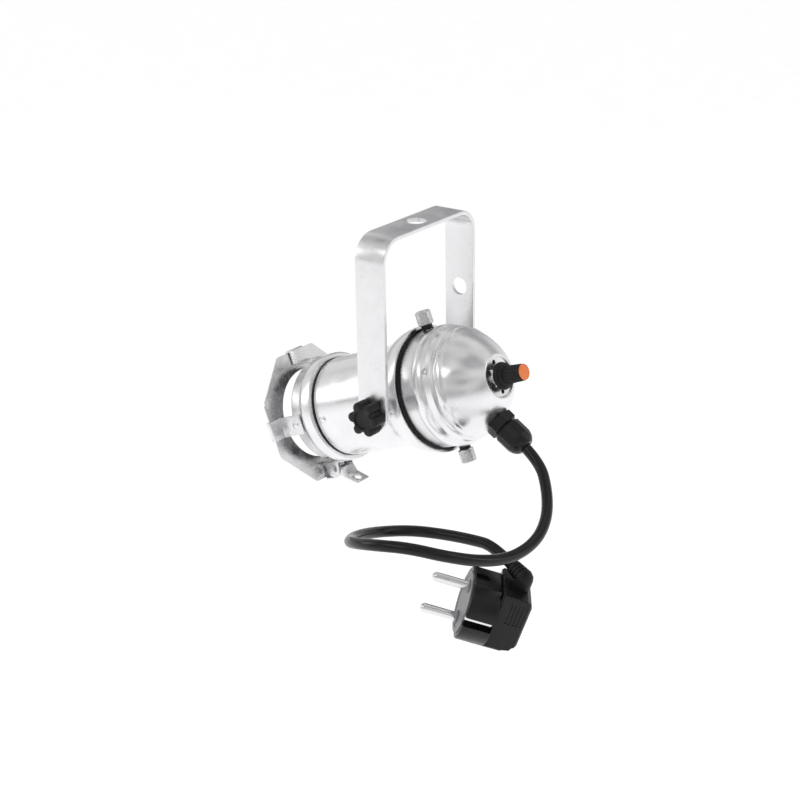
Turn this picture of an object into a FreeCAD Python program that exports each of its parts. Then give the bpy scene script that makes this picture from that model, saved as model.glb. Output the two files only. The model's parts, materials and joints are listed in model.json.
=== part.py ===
"""Small par can light on a hanging yoke, millimetres, +Z up.

The origin is the centre of the hanging hole on the top face of the yoke's crossbar.  +Y is the beam's side.
The can has a frame of its own: its origin is the tilt pivot, +Y runs out along the beam and +Z is up.  At rest
the beam points down by the sheet's beamTilt.  The plug and the gland have frames of their own too.
"""
import FreeCAD, Part
import math
import os

import Sketcher

Vector = FreeCAD.Vector

# ---------------------------------------------------------------- driving dimensions
DIMENSIONS = [
    ("strapWidth", 18.0, "yoke strap, width"),
    ("strapThick", 2.2, "yoke strap, thickness"),
    ("yokeSpan", 80.0, "yoke, outside to outside"),
    ("yokeBend", 13.0, "yoke, outer bend radius"),
    ("pivotDrop", 93.5, "tilt pivot below the crossbar's top face"),
    ("hangHole", 11.0, "hanging hole, diameter"),
    ("legHole", 9.5, "leg hole, diameter"),
    ("legHoleDrop", 45.0, "leg hole below the crossbar's top face"),
    ("beamTilt", 21.0, "beam below level at rest, degrees"),
    ("studRadius", 3.0, "M6 clamp stud, radius"),
    ("runFit", 0.05, "running fit, radial"),
    ("neckRadius", 27.1, "barrel neck, outer radius"),
    ("rimRadius", 33.9, "barrel rear rim, outer radius"),
    ("sheetWall", 1.0, "spun aluminium, wall"),
    ("flareFront", 12.0, "barrel flare, front end"),
    ("rimPlace", -13.5, "barrel rear rim, place along the beam"),
    ("barrelFront", 60.0, "barrel, front end"),
    ("ringRear", 51.5, "front ring, rear edge"),
    ("ringRadius", 29.8, "front ring, outer radius"),
    ("ringFront", 67.7, "front ring, front lip"),
    ("frameFlats", 72.0, "colour frame, across flats"),
    ("framePlace", 77.5, "colour frame, front face"),
    ("frameThick", 1.0, "colour frame, thickness"),
    ("frameOpening", 24.7, "colour frame, opening radius"),
    ("clipWidth", 11.0, "frame clip, width"),
    ("clipThick", 0.8, "frame clip, thickness"),
    ("clipRivetPlace", 65.0, "clip rivet, place along the beam"),
    ("barrelRivetPlace", 46.7, "barrel rivet, place along the beam"),
    ("latchPlace", 71.0, "latch pin, place along the beam"),
    ("latchDrop", 32.6, "latch pin below the beam axis"),
    ("latchPin", 1.5, "latch pin, radius"),
    ("latchWidth", 10.5, "latch lever, width"),
    ("capFront", -14.7, "rear cap, front edge"),
    ("capBead", -22.5, "rear cap, front end of the first bead"),
    ("capRadius", 31.3, "rear cap skirt, outer radius"),
    ("capEnd", -55.5, "rear cap, end lip"),
    ("thumbPlace", -19.2, "thumbscrew, place along the beam"),
    ("thumbHead", 4.2, "thumbscrew head, radius"),
    ("capScrewPlace", -30.3, "cap screw, place along the beam"),
    ("capScrewTurn", 62.0, "cap screw, degrees from the top"),
    ("lampRadius", 25.0, "lamp, radius"),
    ("holderRadius", 14.0, "lampholder, radius"),
    ("dimmerShaft", 2.0, "dimmer shaft, radius"),
    ("knobSkirt", 7.25, "dimmer knob skirt, radius"),
    ("knobStart", -56.3, "dimmer knob, front end"),
    ("knobEnd", -70.7, "dimmer knob, rear end under its cap"),
    ("glandPlace", -45.8, "gland base, place along the beam"),
    ("glandDrop", 22.7, "gland base below the beam axis"),
    ("glandTurn", 53.0, "gland below the rear axis, degrees"),
    ("glandHex", 14.0, "gland base, across flats"),
    ("glandNut", 15.4, "gland nut, across corners"),
    ("glandLength", 20.0, "gland, base to nut end"),
    ("cordRadius", 2.9, "supply cord, radius"),
    ("pinRadius", 2.4, "plug pin, radius"),
    ("pinLength", 19.0, "plug pin, length"),
    ("pinSpacing", 19.0, "plug pins, centre to centre"),
    ("plugRadius", 18.6, "plug face, radius"),
    ("plugDepth", 15.0, "plug front shell, depth"),
]

document = FreeCAD.newDocument("ParCan")
sheet = document.addObject("Spreadsheet::Sheet", "dims")
for row, (alias, value, note) in enumerate(DIMENSIONS, start=1):
    sheet.set(f"A{row}", note)
    sheet.set(f"B{row}", str(value))
    sheet.setAlias(f"B{row}", alias)
document.recompute()


class Size:
    """A number together with the sheet expression that it comes from."""

    def __init__(self, value, text):
        self.value = value
        self.text = text

    def joined(self, other, sign, value):
        return Size(value, f"({self.text} {sign} {other.text})")

    def __add__(self, other):
        other = sized(other)
        return self.joined(other, "+", self.value + other.value)

    def __radd__(self, other):
        return sized(other) + self

    def __sub__(self, other):
        other = sized(other)
        return self.joined(other, "-", self.value - other.value)

    def __rsub__(self, other):
        return sized(other) - self

    def __mul__(self, other):
        other = sized(other)
        return self.joined(other, "*", self.value * other.value)

    def __rmul__(self, other):
        return sized(other) * self

    def __truediv__(self, other):
        other = sized(other)
        return self.joined(other, "/", self.value / other.value)

    def __neg__(self):
        return Size(-self.value, f"(0 - {self.text})")


def sized(value):
    return value if isinstance(value, Size) else Size(float(value), repr(float(value)))


class Sheet:
    """Reads a driving dimension by its alias."""

    def __getattr__(self, alias):
        return Size(float(sheet.get(alias)), f"dims.{alias}")


D = Sheet()
SIDES = {"left": -1, "right": 1}

# ---------------------------------------------------------------- frames, as placement expressions
def place(x=0.0, y=0.0, z=0.0, axis=(1, 0, 0), turn=0.0):
    x, y, z, turn = (sized(value).text for value in (x, y, z, turn))
    along = "; ".join(repr(float(part)) for part in axis)
    return f"placement(vector({x}; {y}; {z}); rotation(vector({along}); {turn}))"


CAN = place(z=-D.pivotDrop, turn=-D.beamTilt)
GLAND = f"{CAN} * {place(y=D.glandPlace, z=-D.glandDrop, turn=90 + D.glandTurn)}"
ALONG_X = dict(axis=(0, 1, 0), turn=90)
ALONG_Y = dict(axis=(1, 0, 0), turn=-90)
ALONG_REAR = dict(axis=(1, 0, 0), turn=90)

# The plug's frame: origin midway between the pins' feet, +Y along the pins, +Z from the lower to the upper pin.
PLUG_ORIGIN = Vector(-63.35, -72.35, -168.41)
PLUG_FORWARD = Vector(-0.5721, 0.7538, 0.3232)
PLUG_UP = Vector(0.1195, -0.3133, 0.9421)


def plug_placement():
    forward = Vector(PLUG_FORWARD).normalize()
    side = forward.cross(Vector(PLUG_UP)).normalize()
    up = side.cross(forward)
    turn = FreeCAD.Rotation(side, forward, up, "YXZ")
    return FreeCAD.Placement(PLUG_ORIGIN, turn)


PLUG = plug_placement()
parts = []


def finish(piece, label, placement=None):
    """Name a finished sub-part, place it and put it on the list of files to write."""
    piece.Label = label
    if isinstance(placement, FreeCAD.Placement):
        piece.Placement = placement
    elif placement:
        piece.setExpression("Placement", placement)
    parts.append(piece)
    return piece


def bind(piece, **sizes):
    for name, value in sizes.items():
        setattr(piece, name, sized(value).value)
        piece.setExpression(name, sized(value).text)
    return piece


# ---------------------------------------------------------------- PartDesign helpers
def new_body(name):
    return document.addObject("PartDesign::Body", name)


def new_sketch(body, plane, offset=0.0):
    """Empty sketch on one of the body's origin planes, moved along the plane's normal by offset."""
    support = next(item for item in body.Origin.OriginFeatures if item.Role == f"{plane}_Plane")
    sketch = body.newObject("Sketcher::SketchObject", f"{body.Name}_sketch")
    sketch.AttachmentSupport = (support, [""])
    sketch.MapMode = "FlatFace"
    if offset:
        sketch.setExpression("AttachmentOffset.Base.z", sized(offset).text)
    return sketch


def fix_point(sketch, edge, end, across, upward):
    """Tie one end of an edge to its two coordinates."""
    for kind, axis, value in (("DistanceX", -2, across), ("DistanceY", -1, upward)):
        value = sized(value)
        if abs(value.value) < 1e-9:
            sketch.addConstraint(Sketcher.Constraint("PointOnObject", edge, end, axis))
            continue
        index = sketch.addConstraint(Sketcher.Constraint(kind, -1, 1, edge, end, value.value))
        sketch.setExpression(f"Constraints[{index}]", value.text)


def fix_radius(sketch, edge, radius):
    index = sketch.addConstraint(Sketcher.Constraint("Radius", edge, radius.value))
    sketch.setExpression(f"Constraints[{index}]", radius.text)


def arc_between(start, finish_point, radius, left):
    """The smaller arc from start to finish_point, turning left or right."""
    chord = finish_point - start
    half = chord.Length / 2
    normal = Vector(-chord.y, chord.x, 0).normalize()
    reach = math.sqrt(max(radius * radius - half * half, 0.0))
    centre = start + chord * 0.5 + normal * (reach if left else -reach)
    first, last = (start, finish_point) if left else (finish_point, start)
    angles = [math.atan2(point.y - centre.y, point.x - centre.x) for point in (first, last)]
    return Part.ArcOfCircle(Part.Circle(centre, Vector(0, 0, 1), radius), angles[0], angles[1])


def outline(body, plane, corners, offset=0.0):
    """Closed sketch through the corners.  A corner's third value is the radius of the arc to the next
    corner, positive where that arc turns left and negative where it turns right."""
    sketch = new_sketch(body, plane, offset)
    points = [Vector(sized(corner[0]).value, sized(corner[1]).value, 0) for corner in corners]
    ends = []
    for index, corner in enumerate(corners):
        start, following = points[index], points[(index + 1) % len(points)]
        bend = sized(corner[2]) if len(corner) == 3 else None
        if bend:
            left = bend.value > 0
            sketch.addGeometry(arc_between(start, following, abs(bend.value), left), False)
            ends.append((1, 2) if left else (2, 1))
        else:
            sketch.addGeometry(Part.LineSegment(start, following), False)
            ends.append((1, 2))
    for index, corner in enumerate(corners):
        following = (index + 1) % len(corners)
        joint = Sketcher.Constraint("Coincident", index, ends[index][1], following, ends[following][0])
        sketch.addConstraint(joint)
        fix_point(sketch, index, ends[index][0], corner[0], corner[1])
        if len(corner) == 3:
            bend = sized(corner[2])
            fix_radius(sketch, index, bend if bend.value > 0 else -bend)
    return sketch


def circles(body, plane, rings, offset=0.0):
    """Sketch of full circles, each given as (across, upward, radius)."""
    sketch = new_sketch(body, plane, offset)
    for index, (across, upward, radius) in enumerate(rings):
        centre = Vector(sized(across).value, sized(upward).value, 0)
        sketch.addGeometry(Part.Circle(centre, Vector(0, 0, 1), sized(radius).value), False)
        fix_point(sketch, index, 3, across, upward)
        fix_radius(sketch, index, sized(radius))
    return sketch


def pad(body, sketch, length, middle=False):
    feature = body.newObject("PartDesign::Pad", f"{body.Name}_pad")
    feature.Profile = sketch
    bind(feature, Length=length)
    feature.Midplane = middle
    return feature


def cut_through(body, sketch):
    """Pocket right through the body, both ways from the sketch, and make sure that it cut."""
    document.recompute()
    before = body.Shape.Volume
    feature = body.newObject("PartDesign::Pocket", f"{body.Name}_pocket")
    feature.Profile = sketch
    feature.Type = "ThroughAll"
    feature.Midplane = True
    document.recompute()
    if not body.Shape.Volume < before - 1e-3:
        raise RuntimeError(f"{body.Name}: a pocket cut nothing")
    return feature


def revolved(name, corners):
    """Solid of revolution about the body's Y axis, from an outline in the YZ plane: (along Y, radius)."""
    body = new_body(name)
    sketch = outline(body, "YZ", corners)
    feature = body.newObject("PartDesign::Revolution", f"{name}_turn")
    feature.Profile = sketch
    feature.ReferenceAxis = (sketch, ["H_Axis"])
    feature.Angle = 360
    return body


def tube(name, rear, front, inner, outer):
    """Plain ring about the Y axis."""
    return revolved(name, [(rear, inner), (rear, outer), (front, outer), (front, inner)])


def profile(name, corners, width):
    """Bent strip: an outline in the YZ plane, as wide as width across X."""
    body = new_body(name)
    pad(body, outline(body, "YZ", corners), width, middle=True)
    return body


# ---------------------------------------------------------------- Part helpers
def rod(name, radius, length, placement):
    piece = document.addObject("Part::Cylinder", name)
    bind(piece, Radius=radius, Height=length)
    piece.setExpression("Placement", placement)
    return piece


def block(name, low, high, placement=None):
    """Box from its low corner to its high corner."""
    piece = document.addObject("Part::Box", name)
    spans = [sized(top) - sized(bottom) for bottom, top in zip(low, high)]
    bind(piece, Length=spans[0], Width=spans[1], Height=spans[2])
    corner = place(*low)
    piece.setExpression("Placement", f"{placement} * {corner}" if placement else corner)
    return piece


def fuse(name, pieces):
    joined = document.addObject("Part::MultiFuse", name)
    joined.Shapes = pieces
    return joined


def cut(name, base, tool):
    result = document.addObject("Part::Cut", name)
    result.Base = base
    result.Tool = tool
    return result


def hexagon(name, flats, length, placement):
    piece = document.addObject("Part::Prism", name)
    piece.Polygon = 6
    bind(piece, Circumradius=sized(flats) / math.sqrt(3.0), Height=length)
    piece.setExpression("Placement", placement)
    return piece


# ---------------------------------------------------------------- yoke and clamps
def yoke_strap():
    body = new_body("yoke_strap")
    half, wall, bend = D.yokeSpan / 2, D.strapThick, D.yokeBend
    foot = -D.pivotDrop - D.strapWidth / 2 - 1
    corners = [
        (-half, foot), (-half, -bend, -bend), (-half + bend, 0), (half - bend, 0, -bend), (half, -bend),
        (half, foot), (half - wall, foot), (half - wall, -bend, bend - wall), (half - bend, -wall),
        (-half + bend, -wall, bend - wall), (-half + wall, -bend), (-half + wall, foot),
    ]
    pad(body, outline(body, "XZ", corners), D.strapWidth, middle=True)
    cut_through(body, circles(body, "XY", [(0, 0, D.hangHole / 2)]))
    cut_through(body, circles(body, "YZ", [(0, -D.pivotDrop, D.studRadius + D.runFit)]))
    document.recompute()
    right_leg = body.newObject("PartDesign::Pocket", "right_leg_hole")
    right_leg.Profile = circles(body, "YZ", [(0, -D.legHoleDrop, D.legHole / 2)])
    right_leg.Type = "ThroughAll"
    right_leg.Reversed = True
    side, low = D.strapWidth / 2, -D.pivotDrop - D.strapWidth / 2
    rounding = [
        (-side - 1, -D.pivotDrop), (-side, -D.pivotDrop, side), (0, low, side), (side, -D.pivotDrop),
        (side + 1, -D.pivotDrop), (side + 1, low - 2), (-side - 1, low - 2),
    ]
    cut_through(body, outline(body, "YZ", rounding))
    finish(body, "yoke_strap")


def clamp(side, sign):
    """Tilt washer, boss, stud and star knob of one side.  Places are distances from the middle along X."""
    inner_face = D.yokeSpan / 2 - D.strapThick
    boss_end, washer_start, knob_start = inner_face - 1.2, inner_face - 0.9, D.yokeSpan / 2 + 0.3
    knob_thick, lobe, lobe_place, core = 8.5, 2.45, 6.9, 6.5
    to_side = dict(axis=(0, 1, 0), turn=90 * sign)

    def along_x(name, radius, start, end):
        spot = place(x=start * sign, z=-D.pivotDrop, **to_side)
        return rod(f"{side}_{name}", radius, end - start, spot)

    washer = cut(f"{side}_washer", along_x("washer_disc", 7, washer_start, inner_face),
                 along_x("washer_bore", D.studRadius + D.runFit, washer_start - 1, inner_face + 1))
    finish(washer, f"{side}_tilt_washer")
    stud = along_x("stud", D.studRadius, D.yokeSpan / 2 - 7.6, knob_start)
    finish(stud, f"{side}_clamp_stud")
    lobes = [along_x("core", core, knob_start, knob_start + knob_thick)]
    for index in range(6):
        angle = math.radians(60 * index)
        spot = place(x=knob_start * sign, y=lobe_place * math.cos(angle),
                     z=lobe_place * math.sin(angle) - D.pivotDrop, **to_side)
        lobes.append(rod(f"{side}_lobe", lobe, knob_thick, spot))
    finish(fuse(f"{side}_star", lobes), f"{side}_clamp_knob")

    boss = new_body(f"{side}_boss")
    start = D.neckRadius - 1
    pad(boss, circles(boss, "YZ", [(0, 0, 6)], offset=start), boss_end - start)
    cut_through(boss, circles(boss, "YZ", [(0, 0, D.studRadius + D.runFit)]))
    front, rear = D.flareFront, D.rimPlace
    middle_along, middle_radius, bend = flare_middle()
    under = [(rear, 0), (rear, D.rimRadius, -bend), (middle_along, middle_radius, bend),
             (front, D.neckRadius), (front, 0)]
    groove = boss.newObject("PartDesign::Groove", f"{side}_boss_seat")
    groove.Profile = outline(boss, "YZ", under)
    groove.ReferenceAxis = (groove.Profile[0], ["H_Axis"])
    groove.Angle = 360
    half_turn = place(axis=(0, 1, 0), turn=90 - 90 * sign)
    finish(boss, f"{side}_pivot_boss", f"{CAN} * {half_turn}")


# ---------------------------------------------------------------- barrel and front
def flare_middle():
    """Where the flare's two arcs meet, and the radius of both."""
    middle_along = (D.flareFront + D.rimPlace) / 2
    middle_radius = (D.neckRadius + D.rimRadius) / 2
    along = (D.flareFront - D.rimPlace) / 2
    rise = (D.rimRadius - D.neckRadius) / 2
    bend = (along * along + rise * rise) / (2 * rise)
    return middle_along, middle_radius, bend


def barrel():
    middle_along, middle_radius, bend = flare_middle()
    wall = D.sheetWall
    corners = [
        (D.barrelFront, D.neckRadius), (D.flareFront, D.neckRadius, -bend), (middle_along, middle_radius, bend),
        (D.rimPlace, D.rimRadius), (D.rimPlace, D.rimRadius - wall, -bend),
        (middle_along, middle_radius - wall, bend), (D.flareFront, D.neckRadius - wall),
        (D.barrelFront, D.neckRadius - wall),
    ]
    finish(revolved("barrel_shell", corners), "barrel", CAN)


def front_ring():
    inside = D.neckRadius + 0.02
    corners = [
        (D.ringRear, inside), (D.ringRear, D.ringRadius - 0.6, -0.6), (D.ringRear + 0.6, D.ringRadius),
        (D.ringRear + 6, D.ringRadius, -6), (D.ringRear + 9, 28.1), (D.ringFront - 1.5, 27.7, -1.6),
        (D.ringFront, 26.9), (D.ringFront, 26.0), (D.barrelFront + 0.1, 26.0), (D.barrelFront + 0.1, inside),
    ]
    finish(revolved("ring_shell", corners), "front_ring", CAN)


def colour_frame():
    body = new_body("frame_plate")
    flat, half_side = D.frameFlats / 2, D.frameFlats / 2 * (math.sqrt(2.0) - 1)
    corners = [
        (half_side, flat), (flat, half_side), (flat, -half_side), (half_side, -flat),
        (-half_side, -flat), (-flat, -half_side), (-flat, half_side), (-half_side, flat),
    ]
    pad(body, outline(body, "XZ", corners, offset=-D.framePlace), D.frameThick)
    cut_through(body, circles(body, "XZ", [(0, 0, D.frameOpening)], offset=-D.framePlace))
    finish(body, "colour_frame", CAN)


CLIP_FOOT = 28.4
CLIP_TURNS = {"top": 0, "left": -90, "right": 90}


def clip(side, turn):
    """Bent strip whose foot is riveted to the ring and whose hook holds one edge of the frame."""
    thick = D.clipThick
    back = D.framePlace - D.frameThick - 0.5
    hook, front = D.frameFlats / 2 + 0.3, D.framePlace + 0.7
    corners = [
        (61, CLIP_FOOT), (61, CLIP_FOOT + thick), (back - thick, CLIP_FOOT + thick), (back - thick, hook + thick),
        (front + thick, hook + thick), (front + thick, hook - 2.8), (front, hook - 2.8), (front, hook),
        (back, hook), (back, CLIP_FOOT),
    ]
    body = profile(f"{side}_clip", corners, D.clipWidth)
    cut_through(body, circles(body, "XY", [(0, D.clipRivetPlace, 1.2)]))
    finish(body, f"{side}_frame_clip", f"{CAN} * {place(axis=(0, 1, 0), turn=turn)}")


def rivet(name, along, radius, turn, grip):
    """Rivet with a low round head: its head stands on radius, its shank reaches inward by grip."""
    spin = place(axis=(0, 1, 0), turn=turn)
    head = document.addObject("Part::Sphere", f"{name}_head")
    bind(head, Radius=3.0, Angle1=45)
    head.setExpression("Placement", f"{spin} * {place(y=along, z=sized(radius) - 3.0 * math.sin(math.pi / 4))}")
    shank = rod(f"{name}_shank", 1.2, grip, f"{spin} * {place(y=along, z=sized(radius) - grip)}")
    return fuse(name, [head, shank])


def rivets():
    seats = [rivet(f"{side}_clip_rivet", D.clipRivetPlace, CLIP_FOOT + D.clipThick, turn, 2.6)
             for side, turn in CLIP_TURNS.items()]
    finish(fuse("clip_rivets", seats), "clip_rivets", CAN)
    seats = [rivet(f"{side}_barrel_rivet", D.barrelRivetPlace, D.neckRadius, 90 * sign, 2.3)
             for side, sign in SIDES.items()]
    finish(fuse("barrel_rivets", seats), "barrel_rivets", CAN)


# ---------------------------------------------------------------- frame latch under the ring
def latch():
    along, drop = D.latchPlace, -D.latchDrop
    ear_start, ear_end, ear_radius = D.latchWidth / 2 + 0.45, D.latchWidth / 2 + 1.25, 4.4
    across = place(x=-ear_end, y=along, z=drop, **ALONG_X)

    plate = block("bracket_plate", (-ear_end, 61, -29.2), (ear_end, along + 3, -28.4))
    pieces = [plate]
    for side, sign in SIDES.items():
        low = ear_start if sign > 0 else -ear_end
        high = ear_end if sign > 0 else -ear_start
        pieces.append(block(f"{side}_ear_neck", (low, along - 3.4, drop), (high, along + 3, -28.4)))
        spot = place(x=low, y=along, z=drop, **ALONG_X)
        pieces.append(rod(f"{side}_ear", ear_radius, high - low, spot))
    bore = rod("bracket_bore", D.latchPin, 2 * ear_end, across)
    finish(cut("bracket", fuse("bracket_fuse", pieces), bore), "latch_bracket", CAN)

    shank = rod("pin_shank", D.latchPin, 2 * ear_end + 2.2, place(x=-ear_end - 2.2, y=along, z=drop, **ALONG_X))
    head = rod("pin_head", 2.6, 1.4, place(x=ear_end, y=along, z=drop, **ALONG_X))
    nut = hexagon("pin_nut", 5.0, 1.8, place(x=-ear_end - 1.8, y=along, z=drop, **ALONG_X))
    finish(fuse("pin", [shank, head, nut]), "latch_pin", CAN)

    coil_start = place(x=-2.2, y=along, z=drop, **ALONG_X)
    coil = cut("coil", rod("coil_outer", 2.5, 4.4, coil_start), rod("coil_inner", 1.7, 4.4, coil_start))
    finish(coil, "latch_spring", CAN)

    lip = D.framePlace + 0.9
    strip = [
        (lip + 0.8, drop - 2.4), (lip + 0.8, drop - 5.6), (along + 1.0, drop - 5.6), (along - 1.6, drop - 2.4),
        (64.9, -39.0), (57.4, -42.9), (57.9, -42.1), (64.3, -37.9), (65.6, -33.6), (along - 2.2, drop + 1.2),
        (along + 2.2, drop + 1.2), (along + 2.2, drop - 4.8), (lip, drop - 4.8), (lip, drop - 2.4),
    ]
    body = profile("lever_strip", strip, D.latchWidth)
    cut_through(body, circles(body, "YZ", [(along, drop, D.latchPin + D.runFit)]))
    cut_through(body, circles(body, "XY", [(0, 60.9, 2.0)]))
    room = block("lever_room", (-2.6, along - 3.3, drop - 3.4), (2.6, along + 3.3, drop + 3))
    finish(cut("lever", body, room), "latch_lever", CAN)


# ---------------------------------------------------------------- rear cap and what joins it
DISC_OUT = 1.2


def cap_outline():
    """Skirt, two rolled beads, dome and the recessed end disc, outside first and then back inside."""
    front, bead, radius, end, wall = D.capFront, D.capBead, D.capRadius, D.capEnd, D.sheetWall
    return [
        (front, radius), (bead, radius, -6.0), (bead - 6.0, radius), (bead - 7.5, radius - 1.3),
        (bead - 11.5, radius - 1.3), (bead - 12.3, radius - 2.9, -3.4), (end + 16.3, radius - 3.7, 45.0),
        (end, 11.8), (end, 10.9), (end + DISC_OUT, 10.3), (end + DISC_OUT, 3.6),
        (end + DISC_OUT + wall, 3.6), (end + DISC_OUT + wall, 11.0, -44.0), (end + 16.3, radius - 4.8),
        (bead - 11.9, radius - 3.9), (bead - 11.5, radius - 2.3), (bead - 6.7, radius - 2.3),
        (bead - 5.7, radius - wall), (front, radius - wall),
    ]


def rear_cap():
    shell = revolved("cap_shell", cap_outline())
    angles = [math.radians(30 + 60 * index) for index in range(6)]
    vents = [(7.8 * math.cos(angle), 7.8 * math.sin(angle), 1.3) for angle in angles]
    cut_through(shell, circles(shell, "XZ", vents))
    gland_axis = place(y=D.glandPlace, z=-D.glandDrop, turn=90 + D.glandTurn)
    tools = [rod("gland_hole", 6.3, 20, f"{gland_axis} * {place(z=-10)}"),
             rod("thumb_holes", 1.5 + D.runFit, 80, place(y=D.thumbPlace, z=-40))]
    for side, sign in SIDES.items():
        spin = place(axis=(0, 1, 0), turn=D.capScrewTurn * sign)
        tools.append(rod(f"{side}_screw_hole", 1.25, 20, f"{spin} * {place(y=D.capScrewPlace, z=20)}"))
    finish(cut("cap", shell, fuse("cap_tools", tools)), "rear_cap", CAN)


def cap_joint():
    """Gasket, spigot ring, threaded bushes and the two thumbscrews that hold the cap."""
    inside = D.capRadius - D.sheetWall
    rear = D.rimPlace - 10
    finish(tube("gasket", D.capFront, D.rimPlace, inside + 0.02, 32.4), "rear_gasket", CAN)
    corners = [
        (D.rimPlace, D.rimRadius - 1.1), (D.rimPlace, inside - 0.1), (rear, inside - 0.1), (rear, inside - 1.1),
        (D.rimPlace + 1, inside - 1.1), (D.rimPlace + 1, D.rimRadius - 1.1),
    ]
    holes = rod("spigot_holes", 1.5 + D.runFit, 80, place(y=D.thumbPlace, z=-40))
    finish(cut("spigot", revolved("spigot_ring", corners), holes), "cap_spigot", CAN)

    bushes = []
    for name, sign in (("upper", 1), ("lower", -1)):
        flip = place(axis=(0, 1, 0), turn=90 - 90 * sign)
        foot = inside - 4.0
        spot = f"{flip} * {place(y=D.thumbPlace, z=foot)}"
        bush = cut(f"{name}_bush", rod(f"{name}_bush_outer", 3.4, 2.9, spot),
                   rod(f"{name}_bush_bore", 1.5 + D.runFit, 2.9, spot))
        bushes.append(bush)
        head_start, head_end = 34.1, 41.7
        shank = rod(f"{name}_shank", 1.5, 6.5, place(y=D.thumbPlace, z=foot - 0.5))
        neck = rod(f"{name}_neck", 3.0, head_start - D.capRadius - 0.3,
                   place(y=D.thumbPlace, z=D.capRadius + 0.3))
        head = rod(f"{name}_head", D.thumbHead, head_end - head_start, place(y=D.thumbPlace, z=head_start))
        screw = fuse(f"{name}_screw", [shank, neck, head])
        finish(screw, f"{name}_thumbscrew", f"{CAN} * {flip}")
    finish(fuse("bushes", bushes), "thumb_bushes", CAN)


def lamp_bracket():
    """Dished plate inside the cap that carries the lampholder, with its two screws and earth tag."""
    rim = D.capRadius - 2.35
    front, rear = -28.5, -34.0
    corners = [
        (front, rim), (rear, rim), (rear, D.holderRadius + 0.2), (rear + 1, D.holderRadius + 0.2),
        (rear + 1, rim - 1), (front, rim - 1),
    ]
    finish(revolved("bracket_dish", corners), "holder_bracket", CAN)
    screws = []
    seat = D.capRadius - 1.3
    for side, sign in SIDES.items():
        spin = place(axis=(0, 1, 0), turn=D.capScrewTurn * sign)
        head = rod(f"{side}_screw_head", 2.3, 1.1, f"{spin} * {place(y=D.capScrewPlace, z=seat)}")
        shank = rod(f"{side}_screw_shank", 1.2, 4.5, f"{spin} * {place(y=D.capScrewPlace, z=seat - 4.5)}")
        screws.append(fuse(f"{side}_bracket_screw", [head, shank]))
    finish(fuse("screws", screws), "bracket_screws", CAN)
    finish(block("earth_tag", (-18, rear + 1, -18), (-12, rear + 1.8, -9), CAN), "earth_lug")


# ---------------------------------------------------------------- lamp
LAMP_FRONT = 18.0


def lamp():
    base_rear, base_front = -25.9, -12.0
    holder = new_body("holder_block")
    pad(holder, circles(holder, "XZ", [(0, 0, D.holderRadius)], offset=26.0), 12)
    document.recompute()
    sockets = circles(holder, "XZ", [(-5, 0, 2.6), (5, 0, 2.6)], offset=26.0)
    pocket = holder.newObject("PartDesign::Pocket", "holder_sockets")
    pocket.Profile = sockets
    bind(pocket, Length=8.0)
    pocket.Reversed = True
    finish(holder, "lampholder", CAN)
    pins = [rod(f"{side}_lamp_pin", 2.5, 7.0, place(x=5.0 * sign, y=base_rear, **ALONG_REAR))
            for side, sign in SIDES.items()]
    finish(fuse("lamp_pin_pair", pins), "lamp_pins", CAN)
    finish(revolved("lamp_foot", [(base_rear, 0), (base_rear, 11.5), (base_front, 11.5), (base_front, 0)]),
           "lamp_base", CAN)
    glass_rear = LAMP_FRONT - 2.0
    corners = [
        (base_front, 4.6), (base_front, 12.0, -60.0), (glass_rear, D.lampRadius),
        (glass_rear, D.lampRadius - 1.2, 60.0), (base_front + 1.4, 10.6), (base_front + 1.4, 4.6),
    ]
    finish(revolved("reflector_bowl", corners), "lamp_reflector", CAN)
    corners = [(base_front, 0), (base_front, 4.5), (2.0, 4.5, -4.5), (6.5, 0)]
    finish(revolved("burner_capsule", corners), "lamp_burner", CAN)
    finish(revolved("front_glass", [(glass_rear, 0), (glass_rear, D.lampRadius), (LAMP_FRONT, D.lampRadius),
                                    (LAMP_FRONT, 0)]), "lamp_glass", CAN)
    inside = D.neckRadius - D.sheetWall - 0.1
    rings = [tube("retainer_ring", LAMP_FRONT + 0.3, LAMP_FRONT + 2.3, 23.4, inside)]
    for side, sign in SIDES.items():
        low, high = (24.9, 25.8) if sign > 0 else (-25.8, -24.9)
        rings.append(block(f"{side}_retainer_arm", (low, LAMP_FRONT + 1, -2.8),
                           (high, D.barrelRivetPlace + 3, 2.8)))
    finish(fuse("retainer", rings), "lamp_retainer", CAN)


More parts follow.
